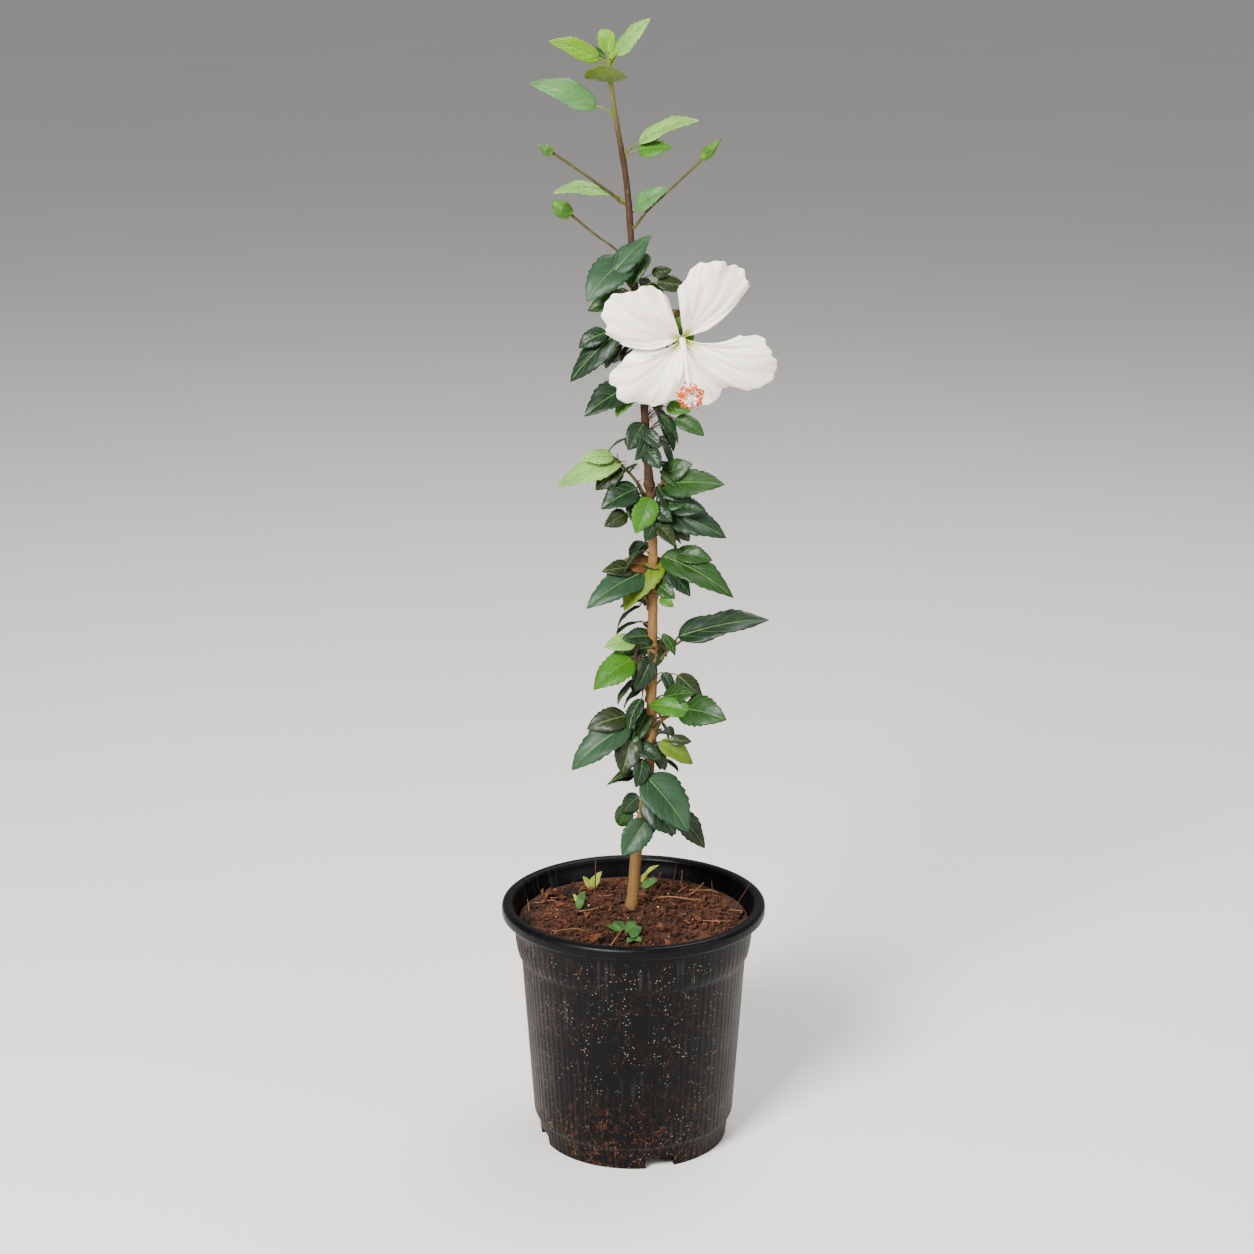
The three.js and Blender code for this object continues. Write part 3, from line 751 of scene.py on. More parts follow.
class HIBISCUS_OT_litter(bpy.types.Operator):
    """Scatter crumbs, perlite, dry twigs and scraps of leaf over the soil"""
    bl_idname = "hibiscus.litter"
    bl_label = "Litter on the soil"

    def execute(self, context):
        soil = context.scene.hibiscus_soil
        self.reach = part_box("soil")[1].x - 3 * MM
        draw = np.random.default_rng(11)
        self.crumbs(soil, draw)
        self.twigs(soil, draw)
        self.scraps(soil, draw)
        return {"FINISHED"}

    def spot(self, soil, draw, inner=8 * MM):
        turn = draw.uniform(0, 2 * math.pi)
        out = math.sqrt(draw.uniform(inner**2, self.reach**2))
        x, y = out * math.cos(turn), out * math.sin(turn)
        return np.array([x, y, soil_height(soil, x, y)])

    def crumbs(self, soil, draw):
        points, faces = ball()
        kinds = (("soil_crumbs", earth_finish(soil, "soil crumbs", 1.05), soil.crumbs, (0.5, 2.4)),
                 ("dark_crumbs", earth_finish(soil, "dark crumbs", 0.55), soil.crumbs // 3, (0.6, 3.0)),
                 ("white_flecks", plain_finish("perlite", soil.fleck, 0.9), soil.flecks, (0.4, 1.3)))
        for name, finish, number, (small, large) in kinds:
            bundle = Bundle()
            for _ in range(number):
                size = small + (large - small) * draw.uniform()**3
                stretch = draw.uniform(0.55, 1.15, 3) * size * MM
                dents = 1 + draw.uniform(-0.28, 0.28, (len(points), 1))
                bundle.add(points * dents * stretch + self.spot(soil, draw) + UP * 0.25 * size * MM, faces)
            settle_bundle(bundle, name, finish, 0)

    def ground(self, soil, x, y):
        return np.array([x * MM, y * MM, soil_height(soil, x * MM, y * MM)])

    def twigs(self, soil, draw):
        """Dry twigs lie about, and a few stand up from the soil."""
        dark, pale = Bundle(), Bundle()
        lying = [(self.spot(soil, draw), draw.uniform(0, 2 * math.pi), draw.uniform(7, 30) * MM,
                  draw.uniform(-0.05, 0.4), draw.uniform(0.3, 0.75)) for _ in range(soil.twigs)]
        # Where each foot is in millimetres, its bearing, length, rise and thickness
        standing = (
            ((-30, 8), 1.4, 40, 1.45, 0.8), ((76, -4), 1.1, 44, 0.5, 0.4),
            ((40, 57), 1.9, 16, 1.3, 0.7), ((32, 80), 1.0, 12, 1.2, 0.6),
            ((60, 20), 1.5, 26, 0.5, 0.5), ((14, 26), -0.2, 40, 0.1, 0.8),
        )
        for (x, y), turn, size, slope, thick in standing:
            lying.append((self.ground(soil, x, y), turn, size * MM, slope, thick))
        for number, (foot, turn, size, slope, thick) in enumerate(lying):
            way = heading(turn, slope)
            end = foot + way * size
            if math.hypot(end[0], end[1]) > self.reach and number < soil.twigs:
                end = foot - way * size * np.array([1, 1, -1])
            path = bent(foot + UP * 0.6 * MM, end, unit(way + draw.normal(0, 0.3, 3)), way, 7)
            kind = pale if number % 3 == 0 else dark
            kind.add(*tube(path, np.linspace(thick, thick * 0.5, 7) * MM, 5))
        settle_bundle(pale, "dry_straw", plain_finish("dry straw", soil.straw, 0.85, 300))
        settle_bundle(dark, "dry_twigs", plain_finish("dry twig", soil.twig, 0.85, 300))

    def scraps(self, soil, draw):
        """Curled dry leaves, thicker at the back left, and a few green and black ones."""
        shape = bpy.context.scene.hibiscus_leaf
        kinds = {"dry_scraps": (Bundle(), soil.dry_leaf), "black_scraps": (Bundle(), soil.black_leaf),
                 "green_sprig": (Bundle(), soil.green), "yellow_scraps": (Bundle(), soil.yellow_green)}
        heap = self.ground(soil, -62, 48)
        for number in range(soil.scraps):
            foot = self.spot(soil, draw)
            if number % 3 == 0:
                foot = self.ground(soil, *(heap[:2] / MM + draw.normal(0, 12, 2)))
            if math.hypot(foot[0], foot[1]) > self.reach:
                continue
            turn = draw.uniform(0, 2 * math.pi)
            way = unit(np.array([math.cos(turn), math.sin(turn), draw.uniform(-0.1, 1.1)]))
            leaf = Leaf(foot + UP * 0.8 * MM, foot + way * draw.uniform(5, 13) * MM,
                        unit(UP + draw.normal(0, 0.6, 3)), draw.uniform(0.3, 0.6), draw.uniform(-0.2, 0.9),
                        draw.uniform(0.0, 0.35), draw.uniform(-1.4, 1.4), 0.09)
            kinds["black_scraps" if number % 6 == 1 else "dry_scraps"][0].add(*blade(shape, leaf, 8, 4))
        # Where each green or black scrap starts and ends across the soil, its rise and its width
        placed = (
            ("green_sprig", (-9, -38), (-21, -31), 3, 0.6), ("green_sprig", (-8, -38), (-14, -24), 4, 0.6),
            ("green_sprig", (-5, -42), (2, -28), 5, 0.6), ("green_sprig", (-2, -48), (6, -40), 5, 0.7),
            ("green_sprig", (0, -54), (-5, -65), 4, 0.6), ("green_sprig", (1, -52), (6, -60), 3, 0.7),
            ("yellow_scraps", (-33, 54), (-25, 56), 15, 0.5),
            ("yellow_scraps", (-33, 55), (-40, 60), 11, 0.5),
            ("green_sprig", (-43, 8), (-38, 30), 8, 0.3), ("yellow_scraps", (-41, 12), (-47, 24), 9, 0.3),
            ("yellow_scraps", (6, 66), (20, 58), 19, 0.24), ("green_sprig", (7, 54), (20, 60), 6, 0.55),
            ("black_scraps", (-50, 32), (-42, 43), 7, 0.4), ("black_scraps", (-56, 38), (-48, 48), 5, 0.4),
        )
        for kind, start, end, rise, width in placed:
            foot = self.ground(soil, *start) + UP * 1.2 * MM
            tip = self.ground(soil, *end) + UP * rise * MM
            leaf = Leaf(foot, tip, unit(UP + 0.5 * VIEWER), width, 0.35, 0.12, 0.2, 0.03)
            kinds[kind][0].add(*blade(shape, leaf, 12, 4))
        for name, (bundle, rgb) in kinds.items():
            piece = bundle.build(name)
            apply_modifier(piece, "SOLIDIFY", thickness=shape.thickness, offset=-1)
            settle(piece, name, (),
                   [plain_finish(name.replace("_", " "), rgb, 0.95, 160, 0.35)])


# ---------------------------------------------------------------- leaves

Leaf = namedtuple("Leaf", "base tip facing width fold bow twist ruffle")
OUTLINE_PEAK = 0.38                       # greatest value of the outline's own formula
VEIN_FOOT = 0.03                          # where the first side veins leave the midrib
VEIN_SWEEP = 0.2                          # how far side veins run forward, as a share of the leaf
VEIN_REACH = 0.917                        # how far they run outward, as a share of the half width
VEIN_END = 0.93                           # no side vein runs past this share of the leaf


def blade_point(shape, leaf, t, s):
    """Points of a leaf's upper side: t runs from base to tip, and s from -1 to 1 across it."""
    chord = leaf.tip - leaf.base
    size = np.linalg.norm(chord)
    along = chord / size
    normal = unit(leaf.facing - along * (leaf.facing @ along))
    side = np.cross(normal, along)
    t, s = t[..., None], s[..., None]
    edge = np.abs(s)
    rise = 4 * leaf.bow * t * (1 - t) - 0.25 * np.maximum(0, t - 0.72)**2
    spine = leaf.base + along * size * t + normal * size * rise
    slope = 4 * leaf.bow * (1 - 2 * t)
    lift = normal - along * slope
    lift /= np.linalg.norm(lift, axis=-1)[..., None]
    turn = leaf.twist * (t - 0.2)
    across = side * np.cos(turn) + lift * np.sin(turn)
    lift = lift * np.cos(turn) - side * np.sin(turn)
    outline = t**0.55 * (1 - t)**0.92 / OUTLINE_PEAK
    saw = (t * shape.teeth + 0.37) % 1
    teeth = 1 + shape.tooth * (saw - 0.6) * edge**5 * np.clip((t - 0.22) * 8, 0, 1)
    half = leaf.width * size / 2 * outline * teeth
    run = np.clip(t - VEIN_FOOT - VEIN_SWEEP * (edge + edge**2), 0, 1)
    veins = np.sin(math.pi * shape.veins * run)**2
    swell = shape.quilt * veins * np.minimum(1, 5 * edge) * (1 - edge**3) * outline
    wave = leaf.ruffle * size * np.sin(t * 11 + s * 2.5 + leaf.width * 40) * edge**2 * outline
    rise = half * edge * math.sin(leaf.fold) + swell + wave - 0.18 * half * edge**3
    return spine + across * half * s * math.cos(leaf.fold) + lift * rise


def blade(shape, leaf, rows=None, columns=None):
    """Points and faces of one leaf, as a thin sheet in its own outline."""
    rows, columns = rows or shape.rows, columns or shape.columns
    t, s = np.meshgrid(np.linspace(0, 1, rows + 1), np.linspace(-1, 1, columns + 1), indexing="ij")
    points = blade_point(shape, leaf, t, s).reshape(-1, 3)
    start = (np.arange(rows)[:, None] * (columns + 1) + np.arange(columns)).ravel()
    faces = np.stack([start, start + columns + 1, start + columns + 2, start + 1], axis=1)
    return points, faces


def vein_lines(shape):
    """The midrib and the side veins of a leaf, each with its width at the start."""
    t = np.arange(1, shape.rows - 1) / shape.rows
    yield t, np.zeros(len(t)), shape.vein_width
    s = np.linspace(0, VEIN_REACH, shape.columns)
    for half in (-1, 1):
        for number in range(shape.veins):
            t = number / shape.veins + VEIN_FOOT + VEIN_SWEEP * (s + s**2)
            inside = t < VEIN_END
            if inside.sum() > 3:
                yield t[inside], half * s[inside], shape.vein_width * (0.5 - 0.05 * number)


def vein(shape, leaf, t, s, width):
    """A raised rib along a line on a leaf: a narrow strip with a crest, seen from both sides."""
    middle = blade_point(shape, leaf, t, s)
    way = np.gradient(middle, axis=0)
    normal = np.cross(blade_point(shape, leaf, t, s + 0.05) - middle, way)
    normal /= np.linalg.norm(normal, axis=1)[:, None]
    size = np.linalg.norm(leaf.tip - leaf.base)
    normal *= np.sign((normal @ leaf.facing).sum())
    side = np.cross(way, normal)
    side /= np.linalg.norm(side, axis=1)[:, None]
    half = (width * min(1, size / 0.045) / 2 * np.linspace(1, 0.25, len(t)))[:, None]
    crest = middle + normal * (0.26 * MM + 0.35 * half)
    keel = middle - normal * (shape.thickness + 0.1 * MM + 0.5 * half)
    edge = middle + normal * 0.06 * MM
    points = np.stack([edge + side * half, crest, edge - side * half, keel], axis=1).reshape(-1, 3)
    start = np.arange(len(t) - 1)[:, None] * 4 + np.arange(4)
    turn = np.arange(len(t) - 1)[:, None] * 4 + (np.arange(4) + 1) % 4
    faces = np.stack([start.ravel(), turn.ravel(), turn.ravel() + 4, start.ravel() + 4], axis=1)
    last = 4 * len(t) - 4
    return points, np.vstack([faces, [[3, 2, 1, 0], [last, last + 1, last + 2, last + 3]]])


# The leaves of each mass by tint: first the one at its far end, then those below it and above it by
# turns. A + marks a leaf as long as the mass, and a < one that turns back across its limb.
# The tints carry part of the light: deep leaves hold painted shade, olive is painted shade, moss is painted
# light from behind and sage is a painted sheen.
SPRAYS = {
    "foot_front": "sage< deep sage", "foot_right": "olive+ olive+", "foot_back": "deep forest olive deep",
    "low_left": "sage+ forest olive forest", "low_front": "olive+ deep deep",
    "low_right": "moss+ deep olive olive", "low_front_right": "forest bright< forest",
    "low_back": "deep olive forest deep",
    "mid_left": "bright deep pale olive deep", "mid_right": "olive deep", "mid_right_leaf": "deep",
    "mid_back": "deep forest olive forest",
    "centre_left": "sage+ moss+ olive olive bronze", "centre_right": "forest+ deep forest",
    "centre_front": "forest< bright", "centre_back": "deep olive forest deep",
    "upper_right": "deep+ olive deep deep forest", "upper_left": "deep olive olive",
    "upper_front": "bright+ deep deep olive", "upper_back": "deep forest olive deep",
    "high_right": "forest+ deep forest", "high_left": "pale+ olive pale",
    "high_front": "deep deep deep deep", "high_back": "deep forest olive forest",
    "under_bloom_right": "forest deep bright", "under_bloom_left": "deep+ bright+",
    "bloom_left": "deep+ olive deep", "bloom_left_upper": "forest",
    "bloom_right": "olive deep olive deep", "bloom_back": "deep forest deep olive",
    "crown_left": "sage forest sage<", "crown_back": "forest silver", "crown_right": "silver",
    "crown_low_left": "pale", "top_right": "pale+ bright", "top_left": "silver",
    "tip_left": "lime", "tip_front": "moss", "tip_right": "pale", "tip_back": "lime bright lime",
}
# Where the leaves of a fan end, as shares of the mass's half length outward and half width across
FAN = ((1, 0), (0.1, -1.15), (0.15, 1.15), (-0.5, -0.9), (-0.4, 1.0))
TIERS = (-0.8, 0.85, -0.75, 0.5)          # how far leaves swing aside in a mass that hangs
BACKWARD = (-1.1, 0.1)                    # where a leaf ends that turns back
LONG, FIRST, OTHER = 1.95, 1.3, 0.95      # lengths of leaves, as shares of the mass's half length
HANGING = 0.82                            # the fall of a mass that hangs
POINTED = 0.7                             # how far a mass may turn away and still spread upwards
TINTS = ("deep", "forest", "bright", "olive", "moss", "sage", "silver", "pale", "lime", "bronze")
YOUNG = ("silver", "pale", "lime")
GLOSS = {"deep": 0.4, "forest": 0.42, "bright": 0.46, "olive": 0.42}
SHOOTS = ("low_right_shoot", "mid_left_shoot", "mid_right_stalk", "centre_left_shoot",
          "centre_right_shoot", "high_left_stalk", "high_right_shoot")
STALKS = ("bloom_stalk", "right_bud_stalk", "left_bud_stalk", "lower_left_bud_stalk")
SHOOT_REACH = 17 * MM             # a shoot that passes this near to a leaf carries it
FRESH_HEIGHT = 0.6                # leaf stalks are green above this height
SLIM, BROAD = 0.42, 0.72          # least and greatest width of a leaf as a share of its length
SHOOT_ROWS = {name: limb_rows(name, stem_at(node_points(name)[:, 2].min())[:3])
              for name in SHOOTS + STALKS}


def root_of(base):
    """Where the leaf stalk of a leaf leaves the plant: on a near shoot, or on the stem below it."""
    carriers = np.vstack([SHOOT_ROWS[name][2:, :3] for name in SHOOTS])
    gaps = np.linalg.norm(carriers - base, axis=1)
    if gaps.min() < SHOOT_REACH:
        return carriers[gaps.argmin()]
    aside = abs(base[0] - stem_at(base[2])[0])
    return stem_at(min(base[2] - 3 * MM - 0.45 * aside, STEM_ROWS[-1, 2] - 1 * MM))[:3]


def mass_frame(node):
    """Middle of a mass, its way out from the plant and its way across, and half its length and width.
    Across is upwards, or to the right where the mass hangs or points to the front or back."""
    points = node_points(node)
    middle = (points.max(axis=0) + points.min(axis=0)) / 2
    along = np.linalg.svd(points - middle, full_matrices=False)[2][0]
    outward = middle - stem_at(middle[2])[:3]
    if along @ (-UP if abs(along[2]) > HANGING else outward) < 0:
        along = -along
    across = unit(np.cross(UP if abs(along @ VIEWER) > POINTED else VIEWER, along))
    if across @ UP_AND_RIGHT < 0:
        across = -across
    reach = points - middle
    return middle, along, across, np.abs(reach @ along).max(), np.abs(reach @ across).max()


def spread_leaf(start, end, seen, draw):
    """A leaf from start to end, turned about its midrib until it looks as wide as it should."""
    size = np.linalg.norm(end - start)
    way = (end - start) / size
    width = float(np.clip(1.12 * seen / size, SLIM, BROAD))
    tilt = math.acos(min(1.0, max(0.35, seen / size / width)))
    if way @ VIEWER > 0.8:
        start, end = start - UP * 0.28 * size, end + UP * 0.28 * size
        return Leaf(start, end, UP, BROAD + 0.15, 0.25, -0.06, 0.0, 0.02)
    flat = unit(CAMERA_SIDE - way * (way @ CAMERA_SIDE))
    lift = np.cross(way, flat)
    outward = UP + np.array([0.6 * np.sign(end[0]), 0, 0])
    facing = flat * math.cos(tilt) + lift * math.sin(tilt) * (1 if lift @ outward > 0 else -1)
    return Leaf(start, end, facing, width, draw.uniform(0.08, 0.38), draw.uniform(0.05, 0.13),
                draw.uniform(-0.35, 0.35), draw.uniform(0.012, 0.032))


def open_leaf(start, end, outward, draw):
    """A leaf behind the stem, its face up and outward."""
    facing = unit(0.75 * UP + 0.7 * outward + draw.normal(0, 0.16, 3))
    return Leaf(start, end, facing, draw.uniform(0.5, 0.62), draw.uniform(0.05, 0.4),
                draw.uniform(0.06, 0.14), draw.uniform(-0.4, 0.4), draw.uniform(0.01, 0.03))


def spray(node, draw):
    """The leaves of one mass: a fan that opens from its limb, or tiers where it hangs."""
    middle, along, across, half_length, half_width = mass_frame(node)
    marks = SPRAYS[node].split()
    alone = len(marks) == 1
    hangs = along[2] < -HANGING
    for number, mark in enumerate(marks):
        back = -1 if "<" in mark else 1
        size = half_length * (LONG if alone or "+" in mark else FIRST if number == 0 else OTHER)
        size *= draw.uniform(0.88, 1.08)
        seen = 1.9 * half_width if alone else size * draw.uniform(0.48, 0.64)
        seen *= 0.82 if "+" in mark else 1
        if hangs:
            start = middle + along * half_length * (1.3 * number / len(marks) - 0.95)
            way = unit(along + across * TIERS[number] * back + VIEWER * 0.25)
            end = start + way * min(size, 1.4 * half_length)
            seen *= 1.25
        else:
            ahead, aside = FAN[number] if back > 0 else BACKWARD
            size *= 1 if back > 0 else 1.25
            end = middle + along * half_length * ahead
            if not alone:
                forward = draw.uniform(-3, 7) if back > 0 else 12
                end = end + across * half_width * aside + VIEWER * forward * MM
            way = unit(end - middle + along * half_length * back * 1.3)
            start = end - way * size
        if along @ VIEWER < -POINTED:
            leaf = open_leaf(start, end, along, draw)
        else:
            leaf = spread_leaf(start, end, seen * (0.6 if mark == "pale+" else 1), draw)
        yield mark.strip("<+"), leaf


def inner_leaves(number, draw):
    """Small leaves that hang close to the stem, at its sides and behind it."""
    for height in np.linspace(0.272, 0.668, number):
        bearing = math.radians(draw.uniform(-48, 228))
        outward = np.array([math.cos(bearing), math.sin(bearing), 0])
        spot = stem_at(height + draw.uniform(-5, 5) * MM)[:3]
        base = spot + outward * draw.uniform(7, 12) * MM
        droop = math.radians(draw.uniform(20, 75))
        tip = base + (outward * math.cos(droop) - UP * math.sin(droop)) * draw.uniform(17, 28) * MM
        facing = unit(0.8 * UP + 0.8 * outward + draw.normal(0, 0.2, 3))
        # Their dark tints are painted shade inside the plant, round the stem.
        yield str(draw.choice(["deep", "deep", "olive", "forest"])), Leaf(
            base, tip, facing, draw.uniform(0.5, 0.66), draw.uniform(0.05, 0.4), 0.1,
            draw.uniform(-0.4, 0.4), 0.02)


def all_leaves(shape):
    """Every leaf of the plant with its tint."""
    draw = np.random.default_rng(17)
    for node in SPRAYS:
        yield from spray(node, draw)
    yield from inner_leaves(shape.inner, draw)


def mass_tint(node):
    """The tint of the first leaf of a mass, whose piece stands for the mass."""
    return SPRAYS[node].split()[0].strip("<+")


class HIBISCUS_OT_leaves(bpy.types.Operator):
    """Grow the leaves with their veins, leaf stalks and stipules"""
    bl_idname = "hibiscus.leaves"
    bl_label = "Leaves"

    def execute(self, context):
        shape = context.scene.hibiscus_leaf
        stem = context.scene.hibiscus_stem
        draw = np.random.default_rng(23)
        blades = {tint: Bundle() for tint in TINTS}
        ribs = {kind: Bundle() for kind in ("midribs", "side_veins", "young_side_veins")}
        stalks, fresh = Bundle(), Bundle()
        for tint, leaf in all_leaves(shape):
            blades[tint].add(*blade(shape, leaf))
            midrib, *sides = vein_lines(shape)
            ribs["midribs"].add(*vein(shape, leaf, *midrib))
            for line in sides:
                kind = "young_side_veins" if tint in YOUNG else "side_veins"
                ribs[kind].add(*vein(shape, leaf, *line))
            kind = fresh if leaf.base[2] > FRESH_HEIGHT else stalks
            self.stalk(kind, leaf, draw)
        for tint, bundle in blades.items():
            piece = bundle.build("leaves_" + tint)
            apply_modifier(piece, "SOLIDIFY", thickness=shape.thickness, offset=-1, material_offset=1)
            upper = getattr(shape, tint)
            finishes = [leaf_finish(tint + " leaf", upper, GLOSS.get(tint, 0.5), 0.05),
                        leaf_finish(tint + " leaf underside", scaled(upper, 1.25), 0.65, 0.0)]
            nodes = [node for node in SPRAYS if mass_tint(node) == tint]
            settle(piece, "leaves_" + tint, nodes, finishes)
        for kind, rgb in (("midribs", shape.midrib), ("side_veins", shape.side_vein),
                          ("young_side_veins", shape.young_side_vein)):
            finish = plain_finish(kind.replace("_", " "), rgb, 0.5, 60, 0.25)
            settle_bundle(ribs[kind], kind, finish)
        settle_bundle(stalks, "leaf_stalks",
                      plain_finish("leaf stalk", stem.stalk, 0.5, 90, 0.35))
        settle_bundle(fresh, "fresh_stalks",
                      plain_finish("fresh leaf stalk", stem.fresh_stalk, 0.5, 90, 0.3))
        return {"FINISHED"}

    @staticmethod
    def stalk(bundle, leaf, draw):
        """A leaf stalk from the plant to a leaf's base, with two hair-like stipules at its foot."""
        root = root_of(leaf.base)
        way = unit(leaf.tip - leaf.base)
        leave = unit(unit(leaf.base - root) + 0.5 * UP)
        thick = min(1.0, np.linalg.norm(leaf.tip - leaf.base) / 0.034) * 0.95 * MM
        path = bent(root, leaf.base + way * 1.5 * MM, leave, way, 10)
        bundle.add(*tube(path, np.linspace(thick, thick * 0.7, 10), 6))
        for _ in range(2):
            out = unit(leave + draw.normal(0, 0.55, 3) + 0.3 * UP)
            end = path[2] + out * draw.uniform(3, 7) * MM
            bundle.add(*tube(bent(path[1], end, leave, out, 4), [0.25 * MM] * 4, 4))


# ---------------------------------------------------------------- stem and shoots

class HIBISCUS_OT_stem(bpy.types.Operator):
    """Draw the main stem, and raise the grooves, pores and leaf collars of its bark"""
    bl_idname = "hibiscus.stem"
    bl_label = "Main stem"

    def execute(self, context):
        stem = context.scene.hibiscus_stem
        bark = drawn_limb(smooth_rows(STEM_ROWS, stem.rows), stem.roundness)
        shape = context.scene.hibiscus_leaf
        collars = [root_of(leaf.base) for _, leaf in all_leaves(shape)]
        collars += [rows[0][:3] for rows in SHOOT_ROWS.values()]
        for vertex in bark.data.vertices:
            place = vertex.co
            axis = Vector(stem_at(place.z)[:3])
            out = place - axis
            out.z = 0
            if out.length > 0.3 * MM:
                vertex.co = place + out.normalized() * self.relief(stem, place, collars)
        settle(bark, "stem_bark", ["main_stem"], [bark_finish(stem)])
        return {"FINISHED"}

    @staticmethod
    def relief(stem, place, collars):
        """How far the bark stands out at a place."""
        groove = noise.noise(Vector((place.x * 1500, place.y * 1500, place.z * 60))) * stem.groove
        pore = max(0.0, noise.noise(Vector((place.x * 420, place.y * 420, place.z * 260 + 9))) - 0.32)
        rise = groove + pore * 2.2 * stem.lump
        for collar in collars:
            gap = (place.z - collar[2]) / (2.6 * MM)
            if abs(gap) < 3:
                rise += 0.35 * stem.collar * math.exp(-gap * gap)
        return rise


class HIBISCUS_OT_shoots(bpy.types.Operator):
    """Draw the side shoots and the stalks of the bloom and buds"""
    bl_idname = "hibiscus.shoots"
    bl_label = "Shoots and flower stalks"

    def execute(self, context):
        stem = context.scene.hibiscus_stem
        skin = plain_finish("green shoot", stem.shoot, 0.6, 140, 0.35)
        for name, rows in SHOOT_ROWS.items():
            root = np.append(stem_at(rows[0][2] - 1 * MM)[:3], rows[0][3] * 1.15)
            tip = rows[-1] + (rows[-1] - rows[-2]) * 2.5 * MM / np.linalg.norm(rows[-1] - rows[-2])
            limb = drawn_limb(smooth_rows(np.vstack([root, rows, tip]), 60), 4)
            for vertex in limb.data.vertices:
                vertex.co += vertex.normal * noise.noise(vertex.co * 700) * 0.12 * MM
            settle(limb, name + "_bark", [name], [skin])
        return {"FINISHED"}


# ---------------------------------------------------------------- bloom and buds

# Bearing in degrees, length and width in millimetres, and how far each stands in front of the rest
PETALS = ((66, 76, 50, 0.4), (141, 69, 50, 0.8), (226, 64, 50, 1.4), (280, 60, 52, -3.0),
          (334, 73, 51, 1.2))


def bloom_axes():
    """The throat of the bloom, and its right, up and forward directions."""
    calyx = limb_rows("calyx", SHOOT_ROWS["bloom_stalk"][-1][:3])
    forward = unit(calyx[-1][:3] - calyx[0][:3])
    right = unit(np.array([1.0, 0, 0]) - forward * forward[0])
    return calyx[-1][:3] + forward * 0.5 * MM, right, np.cross(forward, right), forward


class HIBISCUS_OT_corolla(bpy.types.Operator):
    """Shape the five frilled petals from flat grids"""
    bl_idname = "hibiscus.corolla"
    bl_label = "Petals"

    def execute(self, context):
        bloom = context.scene.hibiscus_bloom
        skin = petal_finish(bloom)
        for number, (bearing, size, width, lead) in enumerate(PETALS):
            deselect()
            bpy.ops.mesh.primitive_grid_add(x_subdivisions=bloom.rays, y_subdivisions=bloom.rows, size=2)
            petal = bpy.context.object
            flat = np.array([v.co for v in petal.data.vertices])
            shaped = self.surface(bloom, math.radians(bearing), size * MM, width * MM, lead * MM,
                                  number * 1.9, flat[:, 0], (flat[:, 1] + 1) / 2)
            for vertex, place in zip(petal.data.vertices, shaped):
                vertex.co = place
            apply_modifier(petal, "SOLIDIFY", thickness=bloom.thickness, offset=0)
            settle(petal, f"petal_{number + 1}", ["corolla"], [skin])
        return {"FINISHED"}

    @staticmethod
    def surface(bloom, bearing, size, width, lead, phase, ray, out):
        """A petal as a fan of rays from its claw to its round end: ray runs from -1 to 1 across it,
        out from 0 at the claw to 1 at the margin. Its phase sets where its waves and folds lie."""
        throat, right, up, forward = bloom_axes()
        middle = right * math.cos(bearing) + up * math.sin(bearing)
        side = np.cross(forward, middle)
        end = width / 2 / size
        turn = math.asin(end / (1 - end)) * np.sin(ray * math.pi / 2)
        chord = (1 - end) * np.sin(turn)
        reach = size * ((1 - end) * np.cos(turn) + np.sqrt(np.maximum(0, end**2 - chord**2)))
        scallops = 0.02 * np.sin(8 * ray + phase) + 0.015 * np.sin(19 * ray + 2 * phase)
        scallops += 0.011 * np.sin(41 * ray + 3 * phase)
        grown = 0.04 + 0.96 * out
        notch = 0.045 * np.exp(-((ray - 0.3 * math.sin(phase)) / 0.06)**2)
        distance = reach * grown * (1 + (scallops - notch) * grown**4)
        angle = turn * (0.66 + 0.34 * np.minimum(1, grown * 2.2))
        rise = lead * np.minimum(1, grown * 2) + bloom.cup * (1 - (1 - grown)**2) - 9 * MM * grown**3
        rise += 3.4 * MM * ray * grown - 4 * MM * grown**2 * ray**2
        rise += bloom.frill * grown**6 * np.sin(11 * ray + phase * 2.2)
        rise += 1.5 * MM * grown**2 * np.sin(3.4 * ray + phase)
        crease = np.sin(ray * 17 + 1.3 * np.sin(out * 3 + phase)) * np.sin(ray * 7 + phase)
        rise += bloom.crease * crease * np.sqrt(grown) * np.minimum(1, 1.6 - grown)
        return (throat + np.outer(distance * np.cos(angle), middle)
                + np.outer(distance * np.sin(angle), side) + np.outer(rise, forward))


